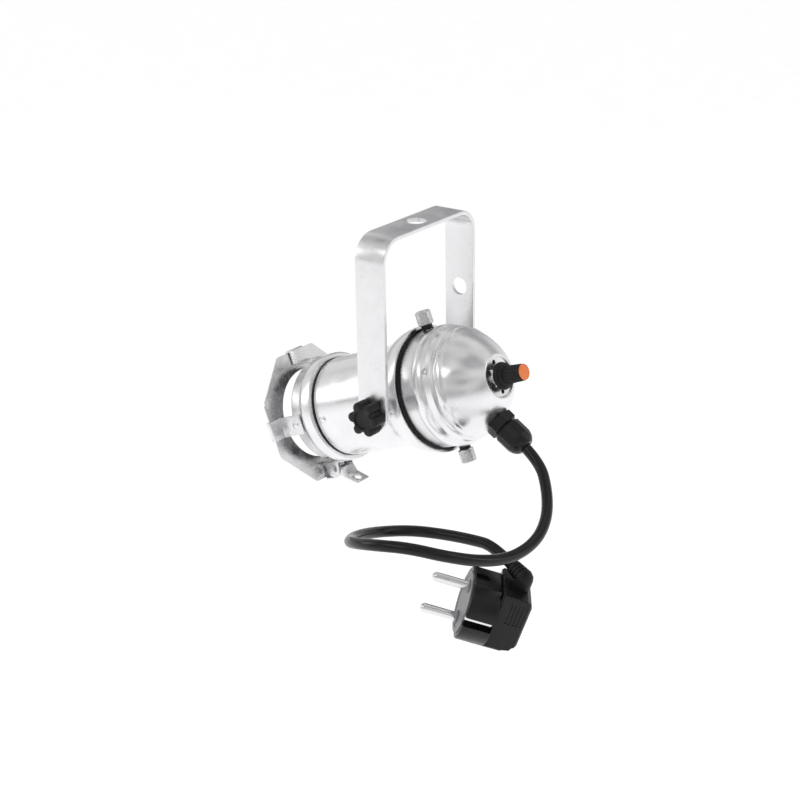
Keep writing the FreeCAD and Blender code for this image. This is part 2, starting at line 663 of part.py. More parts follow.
# ---------------------------------------------------------------- dimmer, its knob and the wiring
def dimmer():
    face, bush_end = D.capEnd + DISC_OUT + D.sheetWall, D.knobStart + 0.3
    bore = D.dimmerShaft + D.runFit
    corners = [
        (-45, 0), (-45, 8.0), (face, 8.0), (face, 3.5), (bush_end, 3.5), (bush_end, bore), (-48, bore), (-48, 0),
    ]
    finish(revolved("dimmer_case", corners), "dimmer_body", CAN)
    nut_seat = D.capEnd + DISC_OUT
    nut = hexagon("nut_blank", 9.0, nut_seat - bush_end, place(y=nut_seat, **ALONG_REAR))
    hole = rod("nut_bore", 3.5, 4, place(y=nut_seat + 1, **ALONG_REAR))
    finish(cut("nut", nut, hole), "dimmer_nut", CAN)
    finish(revolved("shaft_rod", [(-66, 0), (-66, D.dimmerShaft), (-48.3, D.dimmerShaft), (-48.3, 0)]),
           "dimmer_shaft", CAN)
    corners = [
        (D.knobStart, D.dimmerShaft), (D.knobStart, D.knobSkirt), (D.knobStart - 2.2, D.knobSkirt),
        (D.knobStart - 2.4, 6.2), (D.knobStart - 4.2, 6.0), (D.knobStart - 4.2, 4.75), (D.knobEnd, 4.35),
        (D.knobEnd, 0), (-66, 0), (-66, D.dimmerShaft),
    ]
    finish(revolved("knob_turned", corners), "dimmer_knob", CAN)
    finish(revolved("cap_disc", [(D.knobEnd - 0.8, 0), (D.knobEnd - 0.8, 4.2), (D.knobEnd, 4.2),
                                 (D.knobEnd, 0)]), "knob_cap", CAN)


def wiring():
    finish(block("terminals", (-7.5, -46, 10), (7.5, -38.5, 18), CAN), "terminal_block")
    leads = [rod(f"lead_{index}", 1.1, 21.5, place(x=3.0 * index - 3.0, y=-41.5, z=-11.5)) for index in range(3)]
    finish(fuse("leads", leads), "inner_leads", CAN)


# ---------------------------------------------------------------- cable gland, along its own Z axis
def gland():
    length, bore = D.glandLength, D.cordRadius
    hexed, groove_end, neck_end = 5.0, 6.2, 11.0
    pieces = [rod("gland_thread", 5.9, 8.0, place(z=-8)),
              hexagon("gland_hex", D.glandHex, hexed + 0.6, place(z=-0.6)),
              rod("gland_neck", 5.6, neck_end - hexed, place(z=hexed))]
    finish(cut("gland", fuse("gland_fuse", pieces), rod("gland_bore", bore + 0.2, 40, place(z=-20))),
           "gland_body", GLAND)
    locknut = hexagon("locknut_hex", 14.0, 2.4, place(z=-6.0))
    finish(cut("locknut", locknut, rod("locknut_bore", 5.9, 4, place(z=-6))), "gland_locknut", GLAND)
    body = new_body("gland_nut_body")
    nut_end = length - 4.3
    corners = [
        (groove_end, 5.65), (groove_end, D.glandNut / 2), (nut_end, D.glandNut / 2, 8.0), (length, 4.4),
        (length, bore), (neck_end + 1, bore), (neck_end + 1, 5.65),
    ]
    sketch = outline(body, "YZ", corners)
    turn = body.newObject("PartDesign::Revolution", "gland_nut_turn")
    turn.Profile = sketch
    turn.ReferenceAxis = (sketch, ["H_Axis"])
    turn.Angle = 360
    finish(body, "gland_nut", f"{GLAND} * {place(turn=90)}")


# ---------------------------------------------------------------- supply cord
# Route of the cord's middle line: down the gland's axis, one loose turn to the side, over the plug and into
# its strain relief.
CORD_ROUTE = [
    (0.0, -61.1, -104.7), (0.0, -76.2, -114.2), (-13.7, -89.7, -123.0), (-28.6, -99.1, -129.8),
    (-45.5, -103.5, -134.5), (-65.0, -102.5, -135.5), (-84.5, -98.5, -130.5), (-101.5, -90.5, -123.5),
    (-113.2, -77.0, -118.0), (-117.5, -61.3, -119.2), (-113.4, -45.7, -124.1), (-102.5, -32.2, -131.1),
    (-84.7, -24.4, -136.9), (-66.4, -23.9, -142.3), (-51.0, -31.8, -145.5), (-41.9, -45.0, -147.5),
    (-39.0, -60.8, -147.4), (-40.1, -75.3, -146.4), (-44.3, -89.7, -152.0),
]


def tangent_path(points):
    """Straight runs joined by tangent arcs, each as large as its two runs allow."""
    edges, radii = [], []
    last = points[0]
    for before, corner, after in zip(points, points[1:], points[2:]):
        back, ahead = before - corner, after - corner
        turn = math.pi - back.getAngle(ahead)
        reach = 0.45 * min(back.Length, ahead.Length)
        radius = reach / math.tan(turn / 2)
        radii.append(radius)
        back.normalize()
        ahead.normalize()
        inward = (back + ahead).normalize()
        middle = corner + inward * (radius / math.cos(turn / 2) - radius)
        start, end = corner + back * reach, corner + ahead * reach
        edges.append(Part.LineSegment(last, start).toShape())
        edges.append(Part.Arc(start, middle, end).toShape())
        last = end
    edges.append(Part.LineSegment(last, points[-1]).toShape())
    return Part.Wire(edges), radii


def supply_cord():
    points = [Vector(*point) for point in CORD_ROUTE]
    path, radii = tangent_path(points)
    radius = D.cordRadius.value
    section = Part.Wire([Part.Circle(points[0], points[1] - points[0], radius).toShape()])
    solid = path.makePipeShell([section], True, False)
    expected = math.pi * radius * radius * path.Length
    print("cord length %.1f, volume ratio %.4f" % (path.Length, abs(solid.Volume) / expected))
    print("cord arc radii:", ", ".join("%.0f" % value for value in radii))
    piece = document.addObject("Part::Feature", "cord_tube")
    piece.Shape = solid
    finish(piece, "supply_cord")


# ---------------------------------------------------------------- plug, in its own frame
SHELL_FRONT = -0.6
SLEEVE = Vector(0, -24.5, 22.5)
SLEEVE_WAY = Vector(0.762, 0.643, 0.079)
SLEEVE_LENGTH = 9.0


def plug():
    depth = D.plugDepth
    shell = new_body("plug_shell")
    pad(shell, circles(shell, "XZ", [(0, 0, D.plugRadius)], offset=-SHELL_FRONT), depth)
    strip_end, strip_low, strip_high, flat = -14.7, 0.9, 2.4, 16.4
    tools = [block("upper_flat", (-20, -17, flat), (20, 2, 20)), block("lower_flat", (-20, -17, -20), (20, 2, -flat))]
    for side, sign in SIDES.items():
        low, high = (14.6, 20) if sign > 0 else (-20, -14.6)
        tools.append(block(f"{side}_recess", (low, strip_end - 0.1, -2.4), (high, 2, strip_high + 0.2)))
    front = cut("plug_front_cut", shell, fuse("plug_recesses", tools))
    finish(front, "plug_body", PLUG)

    cover = new_body("plug_cover_body")
    rear_start = SHELL_FRONT - depth
    corners = [
        (rear_start, -17.4), (rear_start, 18.0), (-29.5, 18.0, 2.0), (-31.0, 16.5), (-31.4, -9.0, 7.5),
        (-24.0, -16.4),
    ]
    pad(cover, outline(cover, "YZ", corners), 26.0, middle=True)
    document.recompute()
    envelope = fuse("cover_envelope", [rod("cover_round", D.plugRadius, 20, place(y=-15, **ALONG_REAR)),
                                       block("cover_top", (-14, -35, 0), (14, -15, 20))])
    rounded = document.addObject("Part::MultiCommon", "rounded_cover")
    rounded.Shapes = [cover, envelope]
    finish(rounded, "plug_cover", PLUG)

    face = new_body("plug_face_disc")
    pad(face, circles(face, "XZ", [(0, 0, 16.2)], offset=0.0), -SHELL_FRONT)
    mouths = [block(f"{side}_mouth", (14.6 if sign > 0 else -20, -3, -2.4), (20 if sign > 0 else -14.6, 3, 2.6))
              for side, sign in SIDES.items()]
    finish(cut("plug_face_cut", face, fuse("plug_mouths", mouths)), "plug_face", PLUG)

    pins = []
    for name, sign in (("upper", 1), ("lower", -1)):
        level = D.pinSpacing / 2 * sign
        straight = D.pinLength - D.pinRadius
        stem = rod(f"{name}_pin_stem", D.pinRadius, straight, place(z=level, **ALONG_Y))
        tip = document.addObject("Part::Sphere", f"{name}_pin_tip")
        bind(tip, Radius=D.pinRadius)
        tip.setExpression("Placement", place(y=straight, z=level))
        pins.append(fuse(f"{name}_pin", [stem, tip]))
    finish(fuse("pins", pins), "plug_pins", PLUG)

    strips = [block(f"{side}_strip", (14.6 if sign > 0 else -17.4, strip_end, strip_low),
                    (17.4 if sign > 0 else -14.6, -0.4, strip_high)) for side, sign in SIDES.items()]
    finish(fuse("strips", strips), "plug_earth_strips", PLUG)

    foot = rod("sleeve_foot", 4.6, 4.5, place(y=SLEEVE.y, z=SLEEVE.z - 4.5))
    elbow = document.addObject("Part::Sphere", "sleeve_elbow")
    bind(elbow, Radius=4.6)
    elbow.Placement = FreeCAD.Placement(SLEEVE, FreeCAD.Rotation())
    tail = document.addObject("Part::Cone", "sleeve_tail")
    bind(tail, Radius1=4.6, Radius2=3.7, Height=SLEEVE_LENGTH)
    tail.Placement = FreeCAD.Placement(SLEEVE, FreeCAD.Rotation(Vector(0, 0, 1), SLEEVE_WAY))
    finish(fuse("sleeve", [foot, elbow, tail]), "plug_relief", PLUG)


# ---------------------------------------------------------------- build, check and write
def build():
    yoke_strap()
    for side, sign in SIDES.items():
        clamp(side, sign)
    barrel()
    front_ring()
    colour_frame()
    for side, turn in CLIP_TURNS.items():
        clip(side, turn)
    rivets()
    latch()
    cap_joint()
    rear_cap()
    lamp_bracket()
    lamp()
    dimmer()
    wiring()
    gland()
    supply_cord()
    plug()
    document.recompute()


def check_document():
    for item in document.Objects:
        if {"Invalid", "Error"} & set(item.State):
            raise RuntimeError(f"{item.Name}: {item.State}")
    for piece in parts:
        shape = piece.Shape
        if shape.isNull() or not shape.isValid() or not shape.Solids:
            raise RuntimeError(f"{piece.Label}: bad shape")


def write_parts():
    os.makedirs("parts", exist_ok=True)
    for piece in parts:
        piece.Shape.exportStep(f"parts/{piece.Label}.step")
        print("%-20s solids %d volume %.1f" % (piece.Label, len(piece.Shape.Solids), piece.Shape.Volume))


build()
check_document()
write_parts()
print(len(parts), "sub-parts")
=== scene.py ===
"""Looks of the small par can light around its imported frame.  Metres; shapes are drawn in millimetres."""
import itertools
import json
import math

import bmesh
import bpy
from mathutils import Matrix, Vector


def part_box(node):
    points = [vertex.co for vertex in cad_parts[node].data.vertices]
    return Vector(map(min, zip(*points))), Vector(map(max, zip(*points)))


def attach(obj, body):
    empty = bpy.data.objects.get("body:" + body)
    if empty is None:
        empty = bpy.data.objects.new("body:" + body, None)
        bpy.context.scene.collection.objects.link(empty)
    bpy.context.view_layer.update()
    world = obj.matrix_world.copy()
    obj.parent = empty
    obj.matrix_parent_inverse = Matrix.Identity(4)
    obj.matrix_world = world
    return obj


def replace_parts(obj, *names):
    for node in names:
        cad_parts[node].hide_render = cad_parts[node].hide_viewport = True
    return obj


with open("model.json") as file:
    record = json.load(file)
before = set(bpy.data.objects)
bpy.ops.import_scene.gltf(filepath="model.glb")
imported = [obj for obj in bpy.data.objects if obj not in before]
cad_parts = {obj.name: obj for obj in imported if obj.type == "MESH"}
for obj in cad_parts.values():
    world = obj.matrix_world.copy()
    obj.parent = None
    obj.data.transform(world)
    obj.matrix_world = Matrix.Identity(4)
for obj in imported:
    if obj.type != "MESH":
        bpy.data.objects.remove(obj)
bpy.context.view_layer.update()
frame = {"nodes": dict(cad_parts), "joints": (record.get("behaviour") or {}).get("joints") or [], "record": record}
MM = 0.001
TAU = 2 * math.pi
scene = bpy.context.scene
joints = {joint["name"]: joint for joint in frame["joints"]}

# ---------------------------------------------------------------- frames of reference
def frame_matrix(origin, side, forward, up):
    matrix = Matrix((side, forward, up)).transposed().to_4x4()
    matrix.translation = origin
    return matrix


PIVOT = Vector(joints["can_tilt"]["pos_m"])
REAR = Vector(joints["dimmer_turn"]["axis"]).normalized()
UP = Vector(joints["upper_screw_turn"]["axis"]).normalized()
CAN = frame_matrix(PIVOT, Vector((1, 0, 0)), -REAR, UP)
WORLD = Matrix.Identity(4)

# The plug: origin midway between the feet of its pins, +Y along the pins, +Z from lower to upper pin.
PLUG_FORWARD = Vector((-0.5721, 0.7538, 0.3232)).normalized()
PLUG_SIDE = PLUG_FORWARD.cross(Vector((0.1195, -0.3133, 0.9421))).normalized()
PLUG = frame_matrix(Vector((-63.35, -72.35, -168.41)) * MM, PLUG_SIDE, PLUG_FORWARD,
                    PLUG_SIDE.cross(PLUG_FORWARD))


def about(axis, degrees):
    return Matrix.Rotation(math.radians(degrees), 4, axis)


def spot(base, x=0.0, y=0.0, z=0.0, turn=0.0):
    """A frame moved by millimetres inside base, then turned about its own X axis by degrees."""
    return base @ Matrix.Translation(Vector((x, y, z)) * MM) @ about("X", turn)


GLAND_TURN, GLAND_PLACE, GLAND_DROP, GLAND_LENGTH = 53.0, -45.8, 22.7, 20.0
GLAND = spot(CAN, y=GLAND_PLACE, z=-GLAND_DROP, turn=90 + GLAND_TURN)   # +Z runs out along the gland

# ---------------------------------------------------------------- camera
CAMERA_PLACE = (-0.7362, -0.5439, 0.2623)
CAMERA_LENS = 83.8
CAMERA_AZIMUTH, CAMERA_ELEVATION, CAMERA_ROLL = -52.936, 21.48, 0.948


def camera():
    data = bpy.data.cameras.new("camera")
    data.lens = CAMERA_LENS
    data.clip_start = 0.01
    eye = bpy.data.objects.new("camera", data)
    azimuth, elevation, roll = (math.radians(angle) for angle in
                                (CAMERA_AZIMUTH, CAMERA_ELEVATION, CAMERA_ROLL))
    right = Vector((math.cos(azimuth), math.sin(azimuth), 0))
    toward = Vector((math.sin(azimuth) * math.cos(elevation), -math.cos(azimuth) * math.cos(elevation),
                     math.sin(elevation)))
    up = toward.cross(right)
    side = right * math.cos(roll) - up * math.sin(roll)
    top = right * math.sin(roll) + up * math.cos(roll)
    eye.matrix_world = frame_matrix(Vector(CAMERA_PLACE), side, top, toward)
    scene.collection.objects.link(eye)
    scene.camera = eye


camera()

# ---------------------------------------------------------------- supply cord
CORD_ROUTE = [
    (0.0, -61.1, -104.7), (0.0, -76.2, -114.2), (-13.7, -89.7, -123.0), (-28.6, -99.1, -129.8),
    (-45.5, -103.5, -134.5), (-65.0, -102.5, -135.5), (-84.5, -98.5, -130.5), (-101.5, -90.5, -123.5),
    (-113.2, -77.0, -118.0), (-117.5, -61.3, -119.2), (-113.4, -45.7, -124.1), (-102.5, -32.2, -131.1),
    (-84.7, -24.4, -136.9), (-66.4, -23.9, -142.3), (-51.0, -31.8, -145.5), (-41.9, -45.0, -147.5),
    (-39.0, -60.8, -147.4), (-40.1, -75.3, -146.4), (-44.3, -89.7, -152.0),
]
CORD_RADIUS = 2.9


def supply_cord():
    curve = bpy.data.curves.new("supply_cord_line", "CURVE")
    curve.dimensions = "3D"
    line = curve.splines.new("NURBS")
    line.points.add(len(CORD_ROUTE) - 1)
    for point, place in zip(line.points, CORD_ROUTE):
        point.co = (*(Vector(place) * MM), 1)
        point.radius = CORD_RADIUS * MM
    line.order_u = 3
    line.use_endpoint_u = True
    line.resolution_u = 12
    curve.bevel_depth = 1.0   # times each point's own radius
    curve.bevel_resolution = 8
    piece = bpy.data.objects.new("supply_cord_jacket", curve)
    scene.collection.objects.link(piece)
    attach(piece, "can")
    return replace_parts(piece, "supply_cord")


cord = supply_cord()

# ---------------------------------------------------------------- materials
TEXTURE_LOW, TEXTURE_HIGH = 0.3, 0.7   # the part of a noise's range that a colour or roughness follows


class Shade:
    """Builds one procedural material."""

    def __init__(self, name, colour, metallic=0.0, roughness=0.5, **more):
        self.material = bpy.data.materials.new(name)
        self.material.use_nodes = True
        self.tree = self.material.node_tree
        self.shader = self.tree.nodes["Principled BSDF"]
        self.shader.inputs["Base Color"].default_value = (*colour, 1)
        self.shader.inputs["Metallic"].default_value = metallic
        self.shader.inputs["Roughness"].default_value = roughness
        for socket, value in more.items():
            self.shader.inputs[socket.replace("_", " ")].default_value = value
        self.place = self.tree.nodes.new("ShaderNodeTexCoord").outputs["Object"]

    def node(self, kind, **values):
        made = self.tree.nodes.new(kind)
        for name, value in values.items():
            setattr(made, name, value)
        return made

    def noise(self, scale, stretch=(1, 1, 1), detail=3.0, rough=0.5, source=None):
        """Noise over the piece's own place, stretched along its axes."""
        mapping = self.node("ShaderNodeMapping")
        mapping.inputs["Scale"].default_value = stretch
        self.tree.links.new(source or self.place, mapping.inputs["Vector"])
        texture = self.node("ShaderNodeTexNoise")
        texture.inputs["Scale"].default_value = scale
        texture.inputs["Detail"].default_value = detail
        texture.inputs["Roughness"].default_value = rough
        self.tree.links.new(mapping.outputs["Vector"], texture.inputs["Vector"])
        return texture.outputs["Fac"]

    def around(self):
        """Coordinates that stay the same all round the beam axis: (distance along, radius, a little turn)."""
        split = self.node("ShaderNodeSeparateXYZ")
        self.tree.links.new(self.place, split.inputs[0])
        square_x, square_z, total, root = (self.node("ShaderNodeMath", operation=kind) for kind in
                                           ("MULTIPLY", "MULTIPLY", "ADD", "SQRT"))
        for target, axis in ((square_x, "X"), (square_z, "Z")):
            self.tree.links.new(split.outputs[axis], target.inputs[0])
            self.tree.links.new(split.outputs[axis], target.inputs[1])
        self.tree.links.new(square_x.outputs[0], total.inputs[0])
        self.tree.links.new(square_z.outputs[0], total.inputs[1])
        self.tree.links.new(total.outputs[0], root.inputs[0])
        join = self.node("ShaderNodeCombineXYZ")
        self.tree.links.new(split.outputs["Y"], join.inputs["X"])
        self.tree.links.new(root.outputs[0], join.inputs["Y"])
        slow = self.node("ShaderNodeMath", operation="MULTIPLY")
        slow.inputs[1].default_value = 0.02
        self.tree.links.new(split.outputs["X"], slow.inputs[0])
        self.tree.links.new(slow.outputs[0], join.inputs["Z"])
        return join.outputs[0]

    def spread(self, value, socket, low, high):
        """Drive a socket between two values by a texture."""
        change = self.node("ShaderNodeMapRange")
        for name, number in (("From Min", TEXTURE_LOW), ("From Max", TEXTURE_HIGH),
                             ("To Min", low), ("To Max", high)):
            change.inputs[name].default_value = number
        self.tree.links.new(value, change.inputs["Value"])
        self.tree.links.new(change.outputs["Result"], self.shader.inputs[socket])

    def tint(self, value, dark, light):
        """Let the colour drift between two by a texture."""
        ramp = self.node("ShaderNodeValToRGB")
        for stop, place, colour in zip(ramp.color_ramp.elements, (TEXTURE_LOW, TEXTURE_HIGH), (dark, light)):
            stop.position = place
            stop.color = (*colour, 1)
        self.tree.links.new(value, ramp.inputs["Fac"])
        self.tree.links.new(ramp.outputs["Color"], self.shader.inputs["Base Color"])

    def bump(self, value, strength, depth=0.0001):
        """Raise the surface by a texture, on top of any bump already there."""
        made = self.node("ShaderNodeBump")
        made.inputs["Strength"].default_value = strength
        made.inputs["Distance"].default_value = depth
        self.tree.links.new(value, made.inputs["Height"])
        normal = self.shader.inputs["Normal"]
        if normal.is_linked:
            self.tree.links.new(normal.links[0].from_socket, made.inputs["Normal"])
        self.tree.links.new(made.outputs["Normal"], normal)


def grey(level):
    """A very slightly cool grey."""
    return (level, level, level * 1.008)


def spun_metal():
    """Polished spun aluminium: fine turning lines round the axis, cloudy polish and light handling marks."""
    shade = Shade("spun_aluminium", grey(0.86), metallic=1.0, roughness=0.16)
    lines = shade.noise(1, stretch=(2600, 2600, 60), detail=2, source=shade.around())
    clouds = shade.noise(70, detail=4)
    shade.bump(lines, 0.30, 0.00005)
    shade.bump(shade.noise(45, detail=2), 0.10, 0.0006)
    shade.spread(clouds, "Roughness", 0.16, 0.34)
    shade.tint(clouds, grey(0.80), grey(0.90))
    return shade.material


def brushed_strap():
    """Rolled strap: straight lines along its length, faint scratches and rubbed patches."""
    shade = Shade("brushed_strap", grey(0.80), metallic=1.0, roughness=0.3, Anisotropic=0.3)
    lines = shade.noise(1, stretch=(14, 3200, 14), detail=3)
    streaks = shade.noise(1, stretch=(40, 700, 40), detail=2)
    patches = shade.noise(90, detail=5, rough=0.65)
    shade.bump(lines, 0.16, 0.00004)
    shade.bump(streaks, 0.12, 0.00006)
    shade.spread(patches, "Roughness", 0.22, 0.42)
    shade.tint(patches, grey(0.74), grey(0.86))
    return shade.material


def mill_sheet(name="mill_sheet", level=0.78, rough=0.24):
    """Stamped bright sheet with rolling lines and small dents."""
    shade = Shade(name, grey(level), metallic=1.0, roughness=rough)
    shade.bump(shade.noise(1, stretch=(1800, 60, 60), detail=2), 0.10, 0.00004)
    shade.bump(shade.noise(90, detail=2), 0.10, 0.0003)
    shade.spread(shade.noise(220, detail=4), "Roughness", rough - 0.08, rough + 0.12)
    shade.tint(shade.noise(60, detail=2), grey(level - 0.04), grey(level + 0.04))
    return shade.material


def black_plastic(name, level, rough, grain, strength):
    shade = Shade(name, grey(level), roughness=rough, Specular_IOR_Level=0.3)
    texture = shade.noise(grain, detail=2)
    shade.bump(texture, strength, 0.00008)
    shade.spread(shade.noise(300, detail=3), "Roughness", rough - 0.07, rough + 0.09)
    shade.tint(shade.noise(500, detail=3), grey(level * 0.8), grey(level * 1.25))
    return shade.material


def orange_plastic():
    shade = Shade("orange_plastic", (0.95, 0.22, 0.05), roughness=0.42)
    shade.tint(shade.noise(600, detail=3), (0.90, 0.19, 0.04), (1.0, 0.26, 0.07))
    shade.bump(shade.noise(2600, detail=2), 0.12, 0.00006)
    return shade.material


def plain(name, colour, rough, metallic=0.0):
    """Even material with a fine grain and a little colour drift."""
    shade = Shade(name, colour, metallic=metallic, roughness=rough)
    shade.tint(shade.noise(400, detail=3), tuple(part * 0.88 for part in colour), colour)
    shade.bump(shade.noise(900, detail=2), 0.15, 0.00006)
    return shade.material


def clear_glass():
    shade = Shade("clear_glass", (0.98, 0.99, 1.0), roughness=0.03, Transmission_Weight=1.0, IOR=1.5)
    shade.bump(shade.noise(240, detail=2), 0.05, 0.0002)
    return shade.material


MATERIALS = {
    "polished_aluminium": spun_metal(),
    "brushed_aluminium": brushed_strap(),
    "plain_aluminium": mill_sheet(),
    "zinc_steel": mill_sheet("zinc_steel", 0.74, 0.22),
    "matt_black_plastic": black_plastic("matt_black_plastic", 0.010, 0.5, 3500, 0.25),
    "gloss_black_plastic": black_plastic("gloss_black_plastic", 0.007, 0.30, 2500, 0.15),
    "black_rubber": black_plastic("black_rubber", 0.006, 0.48, 1800, 0.18),
    "black_cord": black_plastic("black_cord", 0.006, 0.20, 700, 0.05),
    "orange_plastic": orange_plastic(),
    "grey_plastic": plain("grey_plastic", (0.24, 0.24, 0.25), 0.45),
    "nickel_pins": mill_sheet("nickel_pins", 0.80, 0.16),
    "brass_bush": plain("brass_bush", (0.72, 0.5, 0.2), 0.3, metallic=1.0),
    "ceramic": plain("ceramic", (0.86, 0.84, 0.78), 0.35),
    "lamp_mirror": mill_sheet("lamp_mirror", 0.9, 0.12),
    "clear_glass": clear_glass(),
}

cord.data.materials.append(MATERIALS["black_cord"])

# ---------------------------------------------------------------- mesh tools
WELD_GAP, SLIVER = 2e-6, 1e-6   # metres
SHARP = 32                      # degrees; edges that turn more than this look crisp


def in_metres(points):
    return [Vector(point) * MM for point in points]


def make(name, points, faces, matrix, slot, body, replaces=(), sharp=SHARP, bevel=0.0, cutters=()):
    """Mesh piece from millimetre points in the frame given by matrix, riding on its body.

    The mesh is cleaned, cut by the cutters, bevelled by millimetres and given its material.
    """
    mesh = bpy.data.meshes.new(name)
    mesh.from_pydata(in_metres(points), [], faces)
    work = bmesh.new()
    work.from_mesh(mesh)
    bmesh.ops.remove_doubles(work, verts=work.verts, dist=WELD_GAP)
    bmesh.ops.dissolve_degenerate(work, edges=work.edges, dist=SLIVER)
    bmesh.ops.recalc_face_normals(work, faces=work.faces)
    work.to_mesh(mesh)
    work.free()
    piece = bpy.data.objects.new(name, mesh)
    scene.collection.objects.link(piece)
    for cutter in cutters:
        modifier = piece.modifiers.new("cut", "BOOLEAN")
        modifier.object = cutter
        modifier.operation = "DIFFERENCE"
        modifier.solver = "EXACT"
    if bevel:
        modifier = piece.modifiers.new("edge", "BEVEL")
        modifier.width = bevel * MM
        modifier.segments = 2
        modifier.limit_method = "ANGLE"
        modifier.angle_limit = math.radians(sharp)
    if piece.modifiers:
        bpy.context.view_layer.update()
        shown = piece.evaluated_get(bpy.context.evaluated_depsgraph_get())
        mesh = bpy.data.meshes.new_from_object(shown)
        piece.modifiers.clear()
        piece.data = mesh
    for cutter in cutters:
        bpy.data.objects.remove(cutter)
    mesh.polygons.foreach_set("use_smooth", [True] * len(mesh.polygons))
    mesh.set_sharp_from_angle(angle=math.radians(sharp))
    mesh.name = name
    mesh.materials.clear()
    mesh.materials.append(MATERIALS[slot])
    piece.matrix_world = matrix
    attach(piece, body)
    if replaces:
        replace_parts(piece, *replaces)
    return piece


def cutter(points, faces):
    """Loose helper object, in metres in the frame of the piece that it cuts."""
    mesh = bpy.data.meshes.new("cutter")
    mesh.from_pydata(in_metres(points), [], faces)
    work = bmesh.new()
    work.from_mesh(mesh)
    bmesh.ops.recalc_face_normals(work, faces=work.faces)
    work.to_mesh(mesh)
    work.free()
    made = bpy.data.objects.new("cutter", mesh)
    scene.collection.objects.link(made)
    return made


def ring_faces(rows, count, closed_rows=False, caps=False):
    """Quads between rows of count points each, closed round each row."""
    faces = []
    for row in range(rows if closed_rows else rows - 1):
        following = (row + 1) % rows
        for step in range(count):
            after = (step + 1) % count
            faces.append((row * count + step, row * count + after, following * count + after,
                          following * count + step))
    if caps:
        faces.append(tuple(range(count - 1, -1, -1)))
        faces.append(tuple(range((rows - 1) * count, rows * count)))
    return faces


def drum(centre, axis, radius, length, count=48):
    """Cutter cylinder round centre along axis, in millimetres."""
    axis = Vector(axis).normalized()
    side = axis.orthogonal().normalized()
    other = axis.cross(side)
    points = []
    for end in (-0.5, 0.5):
        for step in range(count):
            angle = TAU * step / count
            points.append(Vector(centre) + axis * length * end
                          + (side * math.cos(angle) + other * math.sin(angle)) * radius)
    return cutter(points, ring_faces(2, count, caps=True))


def brick(low, high, turn=None):
    """Cutter box between two corners, optionally turned by a matrix."""
    points = [Vector(corner) for corner in itertools.product(*zip(low, high))]
    if turn:
        points = [turn @ point for point in points]
    sides = [(0, 1, 3, 2), (4, 6, 7, 5), (0, 4, 5, 1), (2, 3, 7, 6), (0, 2, 6, 4), (1, 5, 7, 3)]
    return cutter(points, sides)


CORNER_STEPS = 3
NEARLY_STRAIGHT = math.radians(172)


def rounded(points, radius=0.3):
    """Closed outline with its corners rounded; a point may carry its own radius as a third value."""
    result = []
    total = len(points)
    for index, point in enumerate(points):
        here = Vector(point[:2])
        bend = point[2] if len(point) > 2 else radius
        before = Vector(points[index - 1][:2]) - here
        after = Vector(points[(index + 1) % total][:2]) - here
        turn = before.angle(after, math.pi) if before.length and after.length else math.pi
        if bend <= 0 or turn > NEARLY_STRAIGHT:
            result.append(here)
            continue
        reach = min(bend / math.tan(turn / 2), 0.49 * before.length, 0.49 * after.length)
        start, end = here + before.normalized() * reach, here + after.normalized() * reach
        for step in range(CORNER_STEPS + 1):
            share = step / CORNER_STEPS
            result.append(start * (1 - share) ** 2 + here * 2 * share * (1 - share) + end * share ** 2)
    return result


def arc(start, end, bulge, steps=8):
    """Points from start towards end on an arc that stands bulge millimetres to the left of the chord."""
    start, end = Vector(start), Vector(end)
    chord = end - start
    normal = Vector((-chord.y, chord.x)).normalized()
    radius = (chord.length ** 2 / 4 + bulge ** 2) / (2 * abs(bulge))
    centre = (start + end) / 2 + normal * (bulge - math.copysign(radius, bulge))
    first = math.atan2(start.y - centre.y, start.x - centre.x)
    sweep = math.atan2(end.y - centre.y, end.x - centre.x) - first
    sweep = (sweep + math.pi) % TAU - math.pi
    return [(centre.x + radius * math.cos(first + sweep * step / steps),
             centre.y + radius * math.sin(first + sweep * step / steps), 0) for step in range(steps)]


def lathe(name, outline, matrix, slot, body, replaces=(), soften=0.25, count=144, cutters=()):
    """Turned piece: the outline is (distance along Y, radius) and is closed."""
    section = rounded(outline, soften)
    points = []
    for along, radius in section:
        for step in range(count):
            angle = TAU * step / count
            points.append((radius * math.sin(angle), along, radius * math.cos(angle)))
    faces = ring_faces(len(section), count, closed_rows=True)
    return make(name, points, faces, matrix, slot, body, replaces, cutters=cutters)


def slab(name, outline, wide, matrix, slot, body, replaces=(), bevel=0.15, cutters=()):
    """Plate with its outline in the YZ plane and its width across X."""
    points = [(side * wide / 2, y, z) for side in (-1, 1) for y, z in outline]
    faces = ring_faces(2, len(outline), caps=True)
    return make(name, points, faces, matrix, slot, body, replaces, bevel=bevel, cutters=cutters)


def hexagon(name, flats, low, high, matrix, slot, body, replaces=(), chamfer=0.5, bore=1.0):
    """Nut or six-sided base along Z with chamfered corners and a bore."""
    sides, per_side = 6, 8
    corner = flats / 2 / math.cos(math.pi / sides)
    count = sides * per_side
    rows = []

    def row(height, limit, inset=0.0):
        points = []
        for step in range(count):
            angle = TAU * step / count
            local = angle % (TAU / sides) - math.pi / sides
            reach = min(flats / 2 / math.cos(local), limit) - inset
            points.append((reach * math.cos(angle), reach * math.sin(angle), height))
        rows.append(points)

    row(low, corner - chamfer, 0.1)
    row(low + 0.12, corner - chamfer)
    row(low + chamfer * 0.7, corner)
    row(high - chamfer * 0.7, corner)
    row(high - 0.12, corner - chamfer)
    row(high, corner - chamfer, 0.12)
    for height in (high, low):
        rows.append([(bore * math.cos(TAU * step / count), bore * math.sin(TAU * step / count), height)
                     for step in range(count)])
    points = [point for points in rows for point in points]
    faces = ring_faces(len(rows), count, closed_rows=True)
    return make(name, points, faces, matrix, slot, body, replaces, sharp=25)


